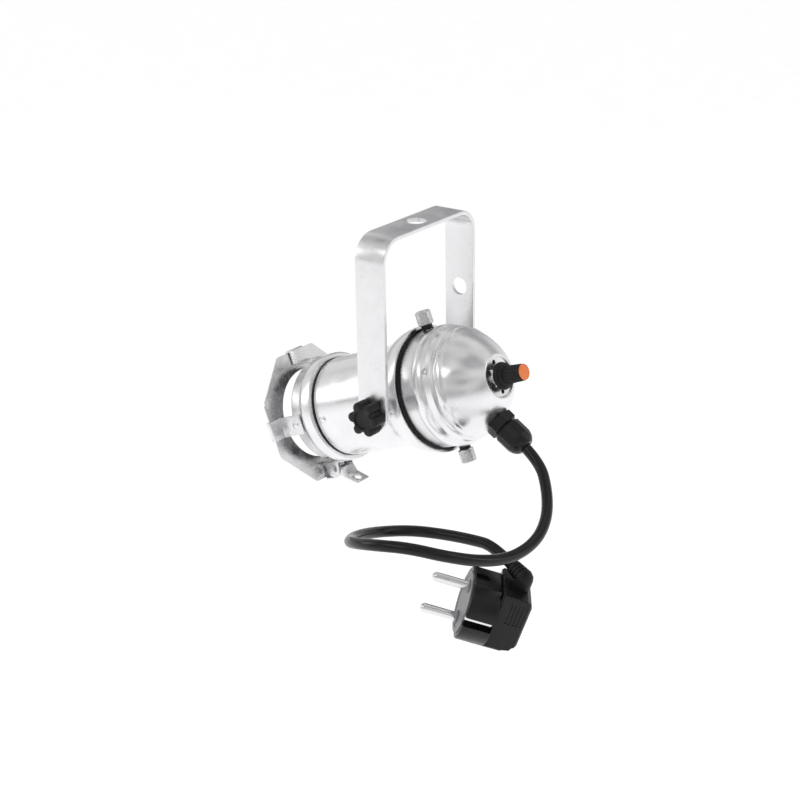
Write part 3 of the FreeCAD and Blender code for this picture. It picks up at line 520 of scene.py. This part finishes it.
LIE_Z = about("X", 90)     # carries the lathe's Y axis onto Z
LIE_Y = about("X", -90)    # carries the Z axis of turned() onto Y


def along_x(base, sign=1):
    """Frame whose Y axis points along +X or -X of base."""
    return base @ about("Z", -90 * sign)


def round_can(turn, along, out):
    """Frame on the can's skin: turned round the beam, at a distance along it and out from it, Y outward."""
    return CAN @ about("Y", turn) @ Matrix.Translation(Vector((0, along, out)) * MM) @ LIE_Z


def dome(name, matrix, radius, height, slot, body, replaces=(), cutters=()):
    """Low round rivet or screw head standing up along Y from a flat foot."""
    outline = [(-0.3, 0), (-0.3, radius * 0.96, 0), (0, radius * 0.96, 0), (height * 0.25, radius, 0.1),
               (height * 0.72, radius * 0.72, 0.6), (height, radius * 0.25, 0.3), (height, 0)]
    return lathe(name, outline, matrix, slot, body, replaces, soften=0.1, count=40, cutters=cutters)


def turned(name, rows, matrix, slot, body, replaces=(), count=144, sharp=30, bore=0.0, cutters=()):
    """Piece standing along Z.  Each row is (height, radius), the radius a number or a function of angle."""
    points = []
    for height, radius in rows:
        for step in range(count):
            angle = TAU * step / count
            reach = radius(angle) if callable(radius) else radius
            points.append((reach * math.sin(angle), reach * math.cos(angle), height))
    if bore:
        for height in (rows[-1][0], rows[0][0]):
            points += [(bore * math.sin(TAU * step / count), bore * math.cos(TAU * step / count), height)
                       for step in range(count)]
    faces = ring_faces(len(points) // count, count, closed_rows=bool(bore), caps=not bore)
    return make(name, points, faces, matrix, slot, body, replaces, sharp, cutters=cutters)


def wire(name, path, radius, matrix, slot, body, replaces=(), count=10):
    """Round wire through a list of points."""
    path = [Vector(point) for point in path]
    points = []
    for index, point in enumerate(path):
        ahead = (path[min(index + 1, len(path) - 1)] - path[max(index - 1, 0)]).normalized()
        side = ahead.cross(Vector((1, 0.3, 0.2))).normalized()
        other = ahead.cross(side)
        for step in range(count):
            angle = TAU * step / count
            points.append(point + (side * math.cos(angle) + other * math.sin(angle)) * radius)
    return make(name, points, ring_faces(len(path), count, caps=True), matrix, slot, body, replaces)


# ---------------------------------------------------------------- yoke, washers, knobs
SIDES = {"left": -1, "right": 1}
DROP = -PIVOT.z / MM
SPAN, STRAP_HALF = (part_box("yoke_strap")[1] / MM)[:2]
STRAP_WALL, YOKE_BEND, ROUND_EDGE = 2.2, 13.0, 0.45
HANG_HOLE, LEG_HOLE, LEG_HOLE_DROP = 5.5, 4.75, 45.0   # radii, and how far down the right leg
STUD_RADIUS, STUD_BORE = 3.0, 3.05


def yoke_strap():
    """Strap swept along its bent line, with rounded edges and half-round feet."""
    parts = 12
    line = [(-SPAN, -DROP - STRAP_HALF * math.cos(math.radians(angle))) for angle in range(0, 91, 6)]
    line += [(-SPAN, -DROP + (DROP - YOKE_BEND) * step / parts) for step in range(1, parts)]
    line += [(-SPAN + YOKE_BEND - YOKE_BEND * math.cos(math.radians(angle)),
              -YOKE_BEND + YOKE_BEND * math.sin(math.radians(angle))) for angle in range(0, 91, 5)]
    line += [(-SPAN + YOKE_BEND + 2 * (SPAN - YOKE_BEND) * step / parts, 0) for step in range(1, parts)]
    mirrored = [(-x, z) for x, z in line[::-1] if x < -1e-6]
    line = [Vector(point) for point in line if point[0] < 1e-6] + [Vector(point) for point in mirrored]
    points = []
    for index, place in enumerate(line):
        ahead = (line[min(index + 1, len(line) - 1)] - line[max(index - 1, 0)]).normalized()
        inward = Vector((ahead.y, -ahead.x))
        below = -DROP - place.y
        half = math.sqrt(max(STRAP_HALF ** 2 - below ** 2, 0.3)) if below > 0 else STRAP_HALF
        edge = min(ROUND_EDGE, half * 0.4)
        section = []
        for corner_side, corner_depth, start in ((1, 0, 90), (1, 1, 0), (-1, 1, -90), (-1, 0, -180)):
            for step in range(4):
                angle = math.radians(start - 30 * step)
                across = corner_side * (half - edge) + edge * math.cos(angle)
                depth = (STRAP_WALL - edge if corner_depth else edge) - edge * math.sin(angle)
                section.append((across, depth))
        for across, depth in section:
            skin = place + inward * depth
            points.append((skin.x, across, skin.y))
    holes = [drum((0, 0, -1), (0, 0, 1), HANG_HOLE, 8, 72),
             drum((SPAN, 0, -LEG_HOLE_DROP), (1, 0, 0), LEG_HOLE, 12, 72)]
    holes += [drum((sign * SPAN, 0, -DROP), (1, 0, 0), STUD_BORE, 12) for sign in SIDES.values()]
    make("yoke_sheet", points, ring_faces(len(line), 16, caps=True), WORLD, "brushed_aluminium", "yoke",
         ["yoke_strap"], sharp=28, cutters=holes)
    ridge = HANG_HOLE - 0.08
    for turn in range(3):
        circle = [(ridge * math.cos(math.radians(a)), ridge * math.sin(math.radians(a)), -0.5 - 0.6 * turn)
                  for a in range(0, 361, 6)]
        wire(f"hole_ridge_{turn}", circle, 0.12, WORLD, "brushed_aluminium", "yoke", count=6)


def lobes(angle):
    """Radius of the six-lobed clamp knob at an angle."""
    place, size, core = 6.9, 2.45, 6.5
    away = (angle + math.pi / 6) % (math.pi / 3) - math.pi / 6
    reach = size ** 2 - (place * math.sin(away)) ** 2
    return max(core, place * math.cos(away) + math.sqrt(reach)) if reach > 0 else core


def scaled(shape, size):
    return lambda angle: shape(angle) * size


def clamp(side, sign):
    """Washer, star knob with its stud, and the boss on the barrel, at one pivot."""
    pivot = spot(WORLD, z=-DROP)
    out = along_x(pivot, sign)
    knob = pivot @ about("Y", 90 * sign)
    body = f"{side}_knob"
    inner, outer = SPAN - 3.1, SPAN - STRAP_WALL
    lathe(f"{side}_washer", [(inner, STUD_BORE), (inner, 7), (outer, 7), (outer, STUD_BORE)], out,
          "zinc_steel", "yoke", [f"{side}_tilt_washer"], soften=0.2, count=72)
    start, end = SPAN + 0.3, SPAN + 8.8
    rows = [(start, scaled(lobes, 0.93)), (start + 0.25, scaled(lobes, 0.975)), (start + 0.8, lobes),
            (end - 1.3, lobes), (end - 0.6, scaled(lobes, 0.97)), (end - 0.2, scaled(lobes, 0.91)),
            (end, scaled(lobes, 0.82)), (end - 0.05, 5.3), (end - 0.3, 4.9), (end - 1.0, 4.7),
            (end - 1.1, 4.4), (end - 1.1, 1.0)]
    turned(f"{side}_star", rows, knob, "matt_black_plastic", body, [f"{side}_clamp_knob"], count=192,
           sharp=50)
    tip = SPAN - 7.6
    lathe(f"{side}_stud", [(tip, 0), (tip, STUD_RADIUS), (start, STUD_RADIUS), (start, 0)], out,
          "zinc_steel", body, [f"{side}_clamp_stud"], soften=0.4, count=48)
    foot = min(abs(corner.x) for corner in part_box(f"{side}_pivot_boss")) / MM
    face = SPAN - 3.4
    lathe(f"{side}_boss", [(foot, STUD_BORE), (foot, 6), (face, 6), (face, STUD_BORE)], along_x(CAN, sign),
          "polished_aluminium", "can", [f"{side}_pivot_boss"], soften=0.35, count=72)


yoke_strap()
for side_name, side_sign in SIDES.items():
    clamp(side_name, side_sign)

# ---------------------------------------------------------------- barrel and front ring
NECK, FLARE, RIM, WALL = 27.12, 30.5, 33.9, 1.0   # radii from the tube to the rear rim
BARREL_FRONT, FLARE_START, FLARE_MIDDLE, BARREL_REAR = 60, 12, -0.75, -13.5
RING_REAR, RING_FRONT, RING_HIGH = 51.5, 67.7, 29.8
SLOT_TURNS = (-22, -6, 64, 152, 208)


def barrel():
    """Spun tube with an S-shaped flare to its rear rim, and short slots behind the front ring."""
    bulge = 0.87
    start, middle, rear = (FLARE_START, NECK), (FLARE_MIDDLE, FLARE), (BARREL_REAR, RIM)
    outer = [(BARREL_FRONT, NECK, 0.3), (*start, 0)] + arc(start, middle, bulge)
    outer += arc(middle, rear, -bulge) + [(*rear, 0.45)]
    start, middle, rear = ((along, radius - WALL) for along, radius in (start, middle, rear))
    inner = [(*rear, 0.45)] + arc(rear, middle, bulge)
    inner += arc(middle, start, -bulge) + [(*start, 0), (BARREL_FRONT, NECK - WALL, 0.3)]
    slots = [brick((-2.4, 48.9, 25), (2.4, 50.1, 29), about("Y", turn)) for turn in SLOT_TURNS]
    lathe("barrel_shell", outer + inner, CAN, "polished_aluminium", "can", ["barrel"], soften=0, count=192,
          cutters=slots)
    # Thin black band just behind the front ring's rear edge: painted shadow of the step where the ring meets the
    # barrel.
    low, high = NECK - 0.3, NECK + 0.14
    lathe("seam_painted_shadow", [(50.5, low), (50.5, high), (51.6, high), (51.6, low)], CAN, "black_rubber", "can",
          soften=0.1)


def front_ring():
    """Rolled bezel: a round-shouldered band, a waist and a turned-in lip."""
    inside = NECK + 0.02
    outline = [(RING_REAR, inside, 0), (RING_REAR, RING_HIGH - 0.6, 0.4), (RING_REAR + 0.6, RING_HIGH, 0.6)]
    outline += arc((RING_REAR + 6, RING_HIGH), (RING_REAR + 9, 28.1), 0.25)
    outline += [(RING_REAR + 9, 28.1, 0.6)] + arc((RING_FRONT - 1.5, 27.7), (RING_FRONT, 26.9), 0.24)
    outline += [(RING_FRONT, 26.9, 0.2), (RING_FRONT, 26.0, 0.3), (60.1, 26.0, 0), (60.1, inside, 0)]
    lathe("ring_shell", outline, CAN, "polished_aluminium", "can", ["front_ring"], soften=0, count=192)


def octagon(angle, flat):
    """Distance to the frame's edge at an angle, with the corners cut short."""
    local = (angle + math.pi / 8) % (math.pi / 4) - math.pi / 8
    return min(flat / math.cos(local), flat * 1.072)


def colour_frame():
    """Octagonal plate with two pressed bead rings round its opening."""
    front, thick, opening, flat, count = 77.5, 1.0, 24.7, 36.0, 320
    bead_half, bead_high, bead_steps = 1.0, 0.42, 8
    rows = [(opening, front - thick), (opening, front - 0.2), (opening + 0.15, front)]
    for middle in (26.0, 29.0):
        for step in range(bead_steps + 1):
            share = step / bead_steps
            rows.append((middle + bead_half * (2 * share - 1), front + bead_high * math.sin(math.pi * share)))
    points = []
    for radius, along in rows:
        points += [(radius * math.sin(TAU * step / count), along, radius * math.cos(TAU * step / count))
                   for step in range(count)]
    edges = [(0.8, front), (0.12, front), (0, front - 0.12), (0, front - thick + 0.12), (0.12, front - thick),
             (0.8, front - thick)]
    for less, along in edges:
        for step in range(count):
            angle = TAU * step / count
            reach = octagon(angle, flat) - less
            points.append((reach * math.sin(angle), along, reach * math.cos(angle)))
    total = len(rows) + len(edges)
    make("frame_sheet", points, ring_faces(total, count, closed_rows=True), CAN, "plain_aluminium", "can",
         ["colour_frame"], sharp=26)


CLIP_FOOT, CLIP_THICK, CLIP_WIDTH, CLIP_RIVET = 28.4, 0.8, 11.0, 65.0


def clip(side, turn):
    """Bent hook that holds one edge of the colour frame, riveted to the front ring."""
    start, back, lip, hook, end = 61, 76.0, 78.2, 36.3, 33.5
    top = CLIP_FOOT + CLIP_THICK
    outline = rounded([
        (start, CLIP_FOOT, 0.1), (start, top, 0.1), (back - CLIP_THICK, top, 0.5),
        (back - CLIP_THICK, hook + CLIP_THICK, 1.2), (lip + CLIP_THICK, hook + CLIP_THICK, 1.2),
        (lip + CLIP_THICK, end, 0.1), (lip, end, 0.1), (lip, hook, 0.4), (back, hook, 0.4),
        (back, CLIP_FOOT, 1.2)])
    slab(f"{side}_clip", outline, CLIP_WIDTH, CAN @ about("Y", turn), "plain_aluminium", "can",
         [f"{side}_frame_clip"], bevel=0.16)
    dome(f"{side}_clip_rivet", round_can(turn, CLIP_RIVET, top), 2.1, 0.9, "polished_aluminium", "can",
         ["clip_rivets"])


barrel()
front_ring()
colour_frame()
for side_name, side_turn in (("top", 0), ("left", -90), ("right", 90)):
    clip(side_name, side_turn)
for side_name, side_sign in SIDES.items():
    dome(f"{side_name}_barrel_rivet", round_can(90 * side_sign, 46.7, NECK), 2.1, 0.9, "polished_aluminium",
         "can", ["barrel_rivets"])

# ---------------------------------------------------------------- latch
PIN_ALONG, PIN_HIGH, EAR = 71.0, -32.6, 4.4
COIL_TURNS, COIL_LENGTH, COIL_RADIUS = 4, 4.0, 2.1


def latch():
    """Riveted plate with two ears, a pin with its coil spring, and the bent lever that turns on it."""
    pin = spot(CAN, y=PIN_ALONG, z=PIN_HIGH)
    out = along_x(pin)
    lathe("latch_pin_rod", [(-8.7, 0), (-8.7, 1.5), (6.5, 1.5), (6.5, 2.6), (7.9, 2.3), (7.9, 0)], out,
          "zinc_steel", "can", ["latch_pin"], soften=0.25, count=40)
    hexagon("latch_pin_nut", 5.0, 6.5, 8.3, pin @ about("Y", -90), "zinc_steel", "can", chamfer=0.25,
            bore=1.5)
    plate = rounded([(61, -29.2), (74, -29.2), (74, -28.4), (61, -28.4)], 0.2)
    slab("latch_plate", plate, 13.0, CAN, "zinc_steel", "can", ["latch_bracket"], bevel=0.12)
    for sign in (-1, 1):
        ear = [(66.2, -29.1), (75.2, -29.1)]
        ear += [(PIN_ALONG + EAR * math.cos(math.radians(a)), PIN_HIGH - EAR * math.sin(math.radians(a)))
                for a in range(0, 181, 12)]
        slab(f"latch_ear_{'right' if sign > 0 else 'left'}", ear, 0.8, spot(CAN, x=6.1 * sign), "zinc_steel",
             "can", bevel=0.12)
    sweep = 360 * COIL_TURNS
    coil = [(COIL_LENGTH * (a / sweep - 0.5), COIL_RADIUS * math.cos(math.radians(a)),
             COIL_RADIUS * math.sin(math.radians(a))) for a in range(0, sweep + 1, 15)]
    wire("latch_coil", coil, 0.36, pin, "zinc_steel", "can", ["latch_spring"])
    strip = rounded([
        (79.2, -35, 0.1), (79.2, -38.2, 1.1), (72, -38.2, 0.6), (69.4, -35, 0.8), (64.9, -39, 0.8),
        (57.4, -42.9, 0.1), (57.9, -42.1, 0.1), (64.3, -37.9, 0.8), (65.6, -33.6, 0.8), (68.8, -31.4, 0.8),
        (73.2, -31.4, 0.3), (73.2, -37.4, 0.3), (78.4, -37.4, 0.4), (78.4, -35, 0.1)])
    holes = [drum((0, 60.9, -41.1), (0, 0.4615, -0.8875), 2.0, 5), brick((-2.6, 67.7, -36), (2.6, 74.3, -20))]
    slab("latch_strip", strip, 10.5, CAN, "zinc_steel", "latch", ["latch_lever"], bevel=0.14, cutters=holes)


latch()

# ---------------------------------------------------------------- rear cap
CAP_TOP, SCREW_ALONG, THUMB_ALONG = 31.3, -30.3, -19.2


def rear_cap():
    """Black gasket, stepped and domed cap with a ring of vent holes, and two cross-headed screws."""
    lathe("gasket_ring", [(-14.7, 30.32), (-14.7, 32.4), (-13.5, 32.4), (-13.5, 30.32)], CAN, "black_rubber",
          "can", ["rear_gasket"], soften=0.4, count=192)
    outer = [(-14.7, CAP_TOP, 0.3), (-22.5, CAP_TOP, 0.5)] + arc((-22.5, CAP_TOP), (-28.5, CAP_TOP), -0.75)
    outer += [(-28.5, CAP_TOP, 0.5), (-30, 30, 0.8), (-34, 30, 0.5), (-34.8, 28.4, 0.2)]
    outer += arc((-34.8, 28.4), (-39.2, 27.6), -0.8) + [(-39.2, 27.6, 0.3)]
    outer += arc((-39.2, 27.6), (-55.5, 11.8), -1.455, 18) + [(-55.5, 11.8, 0.6), (-55.5, 10.9, 0.4)]
    inner = [(-54.3, 10.3, 0.3), (-54.3, 3.6, 0.2), (-53.3, 3.6, 0.2), (-53.3, 11.0, 0.3), (-53.6, 12.0, 0.3)]
    inner += [(-47.5, 20.9, 4), (-39, 26.4, 1), (-34, 27.6, 0.4), (-33.2, 29, 0.4), (-29.5, 29.2, 0.5),
              (-28, 30.3, 0.4), (-14.7, 30.32, 0.2)]
    holes = [drum((7.8 * math.cos(math.radians(a)), -54, 7.8 * math.sin(math.radians(a))), (0, 1, 0), 1.3, 6)
             for a in range(30, 391, 60)]
    lathe("cap_shell", outer + inner, CAN, "polished_aluminium", "can", ["rear_cap"], soften=0.2, count=192,
          cutters=holes)
    for side, sign in SIDES.items():
        seat = round_can(62 * sign, SCREW_ALONG, 30.0)
        cross = [brick((-1.2, 0.62, -0.3), (1.2, 3, 0.3)), brick((-0.3, 0.62, -1.2), (0.3, 3, 1.2))]
        dome(f"{side}_cap_screw", seat, 2.3, 1.1, "zinc_steel", "can", ["bracket_screws"], cutters=cross)


def knurl(size, height):
    """Radius of a diamond-knurled head at one height."""
    def radius(angle):
        waves = min(abs(math.sin(15 * angle + 2.0 * height)), abs(math.sin(15 * angle - 2.0 * height)))
        return size - 0.30 + 0.30 * min(1.0, 2.2 * waves)
    return radius


def thumbscrew(name, flip):
    """Knurled head on a dark neck, standing on the cap."""
    foot = spot(CAN @ about("Y", flip), y=THUMB_ALONG)
    size, low, high = 4.2, 34.1, 41.7
    rows = [(low, 3.2), (low + 0.1, size - 0.6), (low + 0.6, knurl(size, 0))]
    rows += [(low + 0.6 + 0.2 * step, knurl(size, 0.2 * step)) for step in range(1, 32)]
    rows += [(high - 0.5, size - 0.35), (high - 0.1, size - 0.9), (high, size - 1.3), (high - 0.05, 2.0),
             (high - 0.45, 1.7), (high - 0.45, 0.4)]
    turned(f"{name}_screw_head", rows, foot, "zinc_steel", f"{name}_screw", [f"{name}_thumbscrew"], count=240)
    turned(f"{name}_screw_neck", [(31.6, 2.8), (31.8, 3.0), (low - 0.1, 3.0), (low + 0.2, 2.7)], foot,
           "matt_black_plastic", f"{name}_screw", count=48)
    turned(f"{name}_screw_shank", [(25.8, 1.1), (26.2, 1.5), (31.7, 1.5)], foot, "zinc_steel",
           f"{name}_screw", count=32)


rear_cap()
thumbscrew("upper", 0)
thumbscrew("lower", 180)

# ---------------------------------------------------------------- dimmer knob
KNOB_FOOT = -56.3


def fluted(size, depth, count):
    """Radius of a grip with count shallow flutes."""
    return lambda angle: size - depth * (0.5 + 0.5 * math.cos(count * angle)) ** 2


def dimmer():
    """Skirted black knob with a fluted grip and an orange cap."""
    foot = spot(CAN, y=KNOB_FOOT, turn=90)
    rows = [(0, fluted(6.9, 0.1, 40)), (0.25, fluted(7.25, 0.35, 40)), (1.2, fluted(7.25, 0.35, 40)),
            (1.35, 7.15), (2.0, 7.0), (2.2, 6.7), (2.25, 6.2), (3.9, 6.05), (4.2, 5.7), (4.25, 5.0)]
    rows += [(4.3, 4.75), (4.8, fluted(4.75, 0.42, 16)), (13.2, fluted(4.42, 0.42, 16)), (13.9, 4.35),
             (14.35, 4.2), (14.4, 4.0)]
    turned("knob_grip", rows, foot, "matt_black_plastic", "dimmer_control", ["dimmer_knob"], count=320,
           sharp=40)
    rows = [(14.3, 3.95), (14.55, 4.15), (14.9, 4.15), (15.1, 3.95), (15.2, 3.6), (15.2, 0.5)]
    turned("knob_insert", rows, foot, "orange_plastic", "dimmer_control", ["knob_cap"], count=96)
    turned("knob_pointer", [(15.16, 0.45), (15.22, 0.4)], foot @ Matrix.Translation((0, 0.0026, 0)),
           "orange_plastic", "dimmer_control", count=24)


dimmer()

# ---------------------------------------------------------------- cable gland
def gland():
    """Six-sided base, a short neck and the domed nut that the cord comes out of."""
    hexagon("gland_base", 14.0, -0.6, 5.0, GLAND, "gloss_black_plastic", "can", ["gland_body"], chamfer=0.9,
            bore=3.1)
    turned("gland_neck", [(4.8, 5.6), (6.6, 5.6), (6.8, 5.3)], GLAND, "gloss_black_plastic", "can", bore=3.1,
           count=64)

    def flats(size):
        def radius(angle):
            local = angle % (math.pi / 6) - math.pi / 12
            return min(size, size * 0.973 / math.cos(local))
        return radius

    rows = [(6.2, flats(7.2)), (6.5, flats(7.7)), (14.9, flats(7.7)), (15.7, flats(7.45)), (17.0, 7.0),
            (18.2, 6.3), (19.1, 5.5), (19.7, 4.9), (GLAND_LENGTH, 4.35)]
    turned("gland_nut_dome", rows, GLAND, "gloss_black_plastic", "can", ["gland_nut"], count=192, bore=3.05,
           sharp=12)


gland()

# ---------------------------------------------------------------- plug
SHELL_FRONT, SHELL_REAR, SHELL_RADIUS = -0.6, -15.6, 18.6
PIN_RADIUS, PIN_HALF_PITCH, PIN_LENGTH = 2.4, 9.5, 19.0
GUIDE_DEPTH = 14.6       # how far from the middle the side grooves start
FORWARD = PLUG @ LIE_Y   # its Z axis runs forward along the pins
GLOSS, GREY, NICKEL, RUBBER = "gloss_black_plastic", "grey_plastic", "nickel_pins", "black_rubber"


def shell(size):
    """Round shell with flats at the guide grooves; the angle starts at the lower groove."""
    def radius(angle):
        away = (angle + math.pi / 2) % math.pi - math.pi / 2
        return min(size, (size - 2.2) / max(math.cos(away), 0.2))
    return radius


def side_grooves(rear):
    """Cutters for the groove at each side that the earth strips lie in."""
    return [brick((low, -2.6, rear), (high, 2.4, 2))
            for low, high in ((-20, -GUIDE_DEPTH), (GUIDE_DEPTH, 20))]


def plug_front():
    """Round shell of the plug with its grooves, and the grey face set into it."""
    rows = [(SHELL_REAR, shell(17.6)), (SHELL_REAR + 0.4, shell(18.3)),
            (SHELL_REAR + 1.2, shell(SHELL_RADIUS)), (SHELL_FRONT - 1.0, shell(SHELL_RADIUS)),
            (SHELL_FRONT - 0.3, shell(18.2)), (SHELL_FRONT, shell(17.7)), (SHELL_FRONT, 15.4),
            (SHELL_FRONT - 0.3, 15.2)]
    tools = side_grooves(-14.8)
    for sign in SIDES.values():
        wedge = ((-2.6, -1.8), (2.6, -1.8), (2.6, -7.6), (0, -9.4), (-2.6, -7.6))
        points = [(x, sign * z, y) for z in (14.9, 20) for x, y in wedge]
        tools.append(cutter(points, ring_faces(2, len(wedge), caps=True)))
    turned("plug_shell", rows, FORWARD, GLOSS, "can", ["plug_body"], count=240, cutters=tools, sharp=24)
    rows = [(SHELL_FRONT - 0.4, 15.9), (-0.15, 15.9), (0, 15.7), (0, 13.6), (-0.35, 13.4), (-0.35, 0.5)]
    turned("plug_face_disc", rows, FORWARD, GREY, "can", ["plug_face"], count=144, cutters=side_grooves(-2))


def housing(top, low, wide):
    """Rear housing: square-shouldered above, following the round shell below."""
    def radius(angle):
        side, level = abs(math.sin(angle)), -math.cos(angle)
        reach = min(wide / max(side, 0.01), SHELL_RADIUS if level < 0 else 30)
        if level > 0.01:
            return min(reach, top / level)
        return min(reach, low / -level) if level < -0.01 else reach
    return radius


def plug_rear():
    """Rear housing with five ribs down each side."""
    rows = [(-31.3, housing(12.0, 7.0, 9.0)), (-31.0, housing(14.0, 9.0, 11.6)),
            (-30.0, housing(16.2, 10.2, 12.6)), (-28.0, housing(17.3, 12.4, 13.0)),
            (-24.0, housing(17.6, 16.2, 13.0)), (-16.6, housing(17.6, 17.4, 13.0)),
            (SHELL_REAR - 0.5, housing(17.5, 17.3, 12.9)), (SHELL_REAR - 0.3, housing(17.1, 16.9, 12.5)),
            (SHELL_REAR + 0.2, housing(17.0, 16.8, 12.4))]
    grooves = []
    for index in range(5):
        start = -29.0 + 1.9 * index
        for low, high in ((-14, -12.5), (12.5, 14)):
            grooves.append(brick((low, -14.0, start), (high, -2.0, start + 0.8)))
    turned("plug_cover_shell", rows, FORWARD, GLOSS, "can", ["plug_cover"], count=240, cutters=grooves,
           sharp=24)


def plug_contacts():
    """Two round-ended pins on grey feet, and an earth strip at each side."""
    straight = PIN_LENGTH - PIN_RADIUS
    for name, sign in (("upper", 1), ("lower", -1)):
        foot = spot(PLUG, z=PIN_HALF_PITCH * sign) @ LIE_Y
        rows = [(-1.0, PIN_RADIUS), (straight, PIN_RADIUS)]
        rows += [(straight + PIN_RADIUS * math.sin(math.radians(a)),
                  max(PIN_RADIUS * math.cos(math.radians(a)), 0.05)) for a in range(10, 91, 10)]
        turned(f"{name}_plug_pin", rows, foot, NICKEL, "can", ["plug_pins"], count=56)
        turned(f"{name}_pin_foot", [(-0.4, 3.4), (0.25, 3.4), (0.4, 3.2), (0.4, PIN_RADIUS)], foot, GREY,
               "can", count=56)
    strip = rounded([(-14.6, 0.9), (-0.45, 0.9), (-0.45, 2.4), (-14.6, 2.4)], 0.4)
    for side, sign in SIDES.items():
        slab(f"{side}_earth_strip", strip, 2.8, spot(PLUG, x=16.0 * sign), NICKEL, "can",
             ["plug_earth_strips"], bevel=0.25)


def strain_relief():
    """Ribbed rubber sleeve that leads the cord into the top of the rear housing."""
    base = Vector((0, -24.5, 22.5))
    along = Vector((0.762, 0.643, 0.079)).normalized()
    turned("relief_foot", [(17.2, 4.6), (21.6, 4.6), (22.6, 4.55), (24.4, 4.0), (25.9, 2.8), (26.9, 0.8)],
           spot(PLUG, y=base.y), RUBBER, "can", ["plug_relief"], count=64)
    lean = Vector((0, 0, 1)).rotation_difference(along).to_matrix().to_4x4()
    rows = [(-3.6, 2.0), (-2.4, 3.8), (0, 4.6)]
    for index in range(4):
        start, size = 0.6 + 2.1 * index, 4.55 - 0.2 * index
        rows += [(start, size), (start + 1.3, size - 0.1), (start + 1.45, size - 0.5),
                 (start + 1.95, size - 0.55)]
    rows += [(9.0, 3.65)]
    turned("relief_sleeve", rows, spot(PLUG, *base) @ lean, RUBBER, "can", count=64, sharp=35)


plug_front()
plug_rear()
plug_contacts()
strain_relief()

# ---------------------------------------------------------------- frame nodes that stay showing
for entry in frame["record"]["subparts"]:
    node = frame["nodes"].get(entry["node"])
    if node is None or node.hide_render:
        continue
    if not node.material_slots:
        node.data.materials.append(None)
    for target in node.material_slots:
        target.material = MATERIALS[entry["material_slot"]]

# ---------------------------------------------------------------- floor, light and sky
FLOOR_LEVEL, FLOOR_HALF, FLOOR_SQUARES, FLOOR_WAVE = -0.36, 3.0, 60, 0.0004
FLOOR_GLOW, SKY_GLOW = 0.48, 0.80


def floor():
    """Plain pale floor with a faint grain and slight unevenness; a little glow keeps it near white."""
    squares, half = FLOOR_SQUARES, FLOOR_HALF
    points = [(-half + 2 * half * i / squares, -half + 2 * half * j / squares,
               FLOOR_LEVEL + FLOOR_WAVE * math.sin(i * 1.7) * math.cos(j * 2.3))
              for i in range(squares + 1) for j in range(squares + 1)]
    row = squares + 1
    faces = [(i * row + j, (i + 1) * row + j, (i + 1) * row + j + 1, i * row + j + 1)
             for i in range(squares) for j in range(squares)]
    mesh = bpy.data.meshes.new("floor")
    mesh.from_pydata(points, [], faces)
    shade = Shade("pale_floor", grey(0.86), roughness=0.8)
    shade.tint(shade.noise(30, detail=4), grey(0.84), grey(0.88))
    shade.shader.inputs["Emission Color"].default_value = (1, 1, 1, 1)
    shade.shader.inputs["Emission Strength"].default_value = FLOOR_GLOW
    mesh.materials.append(shade.material)
    made = bpy.data.objects.new("floor", mesh)
    scene.collection.objects.link(made)


def softbox(name, place, width, height, power):
    """Rectangular soft light that faces the middle of the object."""
    target = (0, 0, -0.1)
    data = bpy.data.lights.new(name, "AREA")
    data.shape = "RECTANGLE"
    data.size, data.size_y = width, height
    data.energy = power
    lamp = bpy.data.objects.new(name, data)
    lamp.location = place
    lamp.rotation_euler = (Vector(target) - Vector(place)).to_track_quat("-Z", "Y").to_euler()
    scene.collection.objects.link(lamp)


def sky():
    """White studio: plain white to the eye, with soft grey panels in reflections."""
    world = bpy.data.worlds.new("studio")
    scene.world = world
    world.use_nodes = True
    tree = world.node_tree
    tree.nodes.clear()
    out = tree.nodes.new("ShaderNodeOutputWorld")
    seen, lit = tree.nodes.new("ShaderNodeBackground"), tree.nodes.new("ShaderNodeBackground")
    seen.inputs["Color"].default_value = (1, 1, 1, 1)
    seen.inputs["Strength"].default_value = 1.0
    lit.inputs["Strength"].default_value = SKY_GLOW
    place = tree.nodes.new("ShaderNodeTexCoord")
    mapping = tree.nodes.new("ShaderNodeMapping")
    mapping.inputs["Scale"].default_value = (1.4, 1.4, 2.6)
    noise = tree.nodes.new("ShaderNodeTexNoise")
    noise.inputs["Scale"].default_value = 1.25
    noise.inputs["Detail"].default_value = 1.0
    ramp = tree.nodes.new("ShaderNodeValToRGB")
    ramp.color_ramp.elements[0].position, ramp.color_ramp.elements[1].position = 0.36, 0.62
    ramp.color_ramp.elements[0].color = (0.42, 0.42, 0.43, 1)
    ramp.color_ramp.elements[1].color = (1, 1, 1, 1)
    path, mix = tree.nodes.new("ShaderNodeLightPath"), tree.nodes.new("ShaderNodeMixShader")
    tree.links.new(place.outputs["Generated"], mapping.inputs["Vector"])
    tree.links.new(mapping.outputs["Vector"], noise.inputs["Vector"])
    tree.links.new(noise.outputs["Fac"], ramp.inputs["Fac"])
    tree.links.new(ramp.outputs["Color"], lit.inputs["Color"])
    tree.links.new(path.outputs["Is Camera Ray"], mix.inputs["Fac"])
    tree.links.new(lit.outputs["Background"], mix.inputs[1])
    tree.links.new(seen.outputs["Background"], mix.inputs[2])
    tree.links.new(mix.outputs["Shader"], out.inputs["Surface"])


floor()
sky()
softbox("key", (-0.9, 0.1, 0.8), 0.9, 0.35, 1.6)
softbox("side", (0.5, -0.9, 0.35), 0.25, 0.9, 1.0)
softbox("front", (-0.5, 0.9, 0.2), 0.4, 0.6, 1.0)
scene.view_settings.view_transform = "Standard"
scene.view_settings.look = "None"
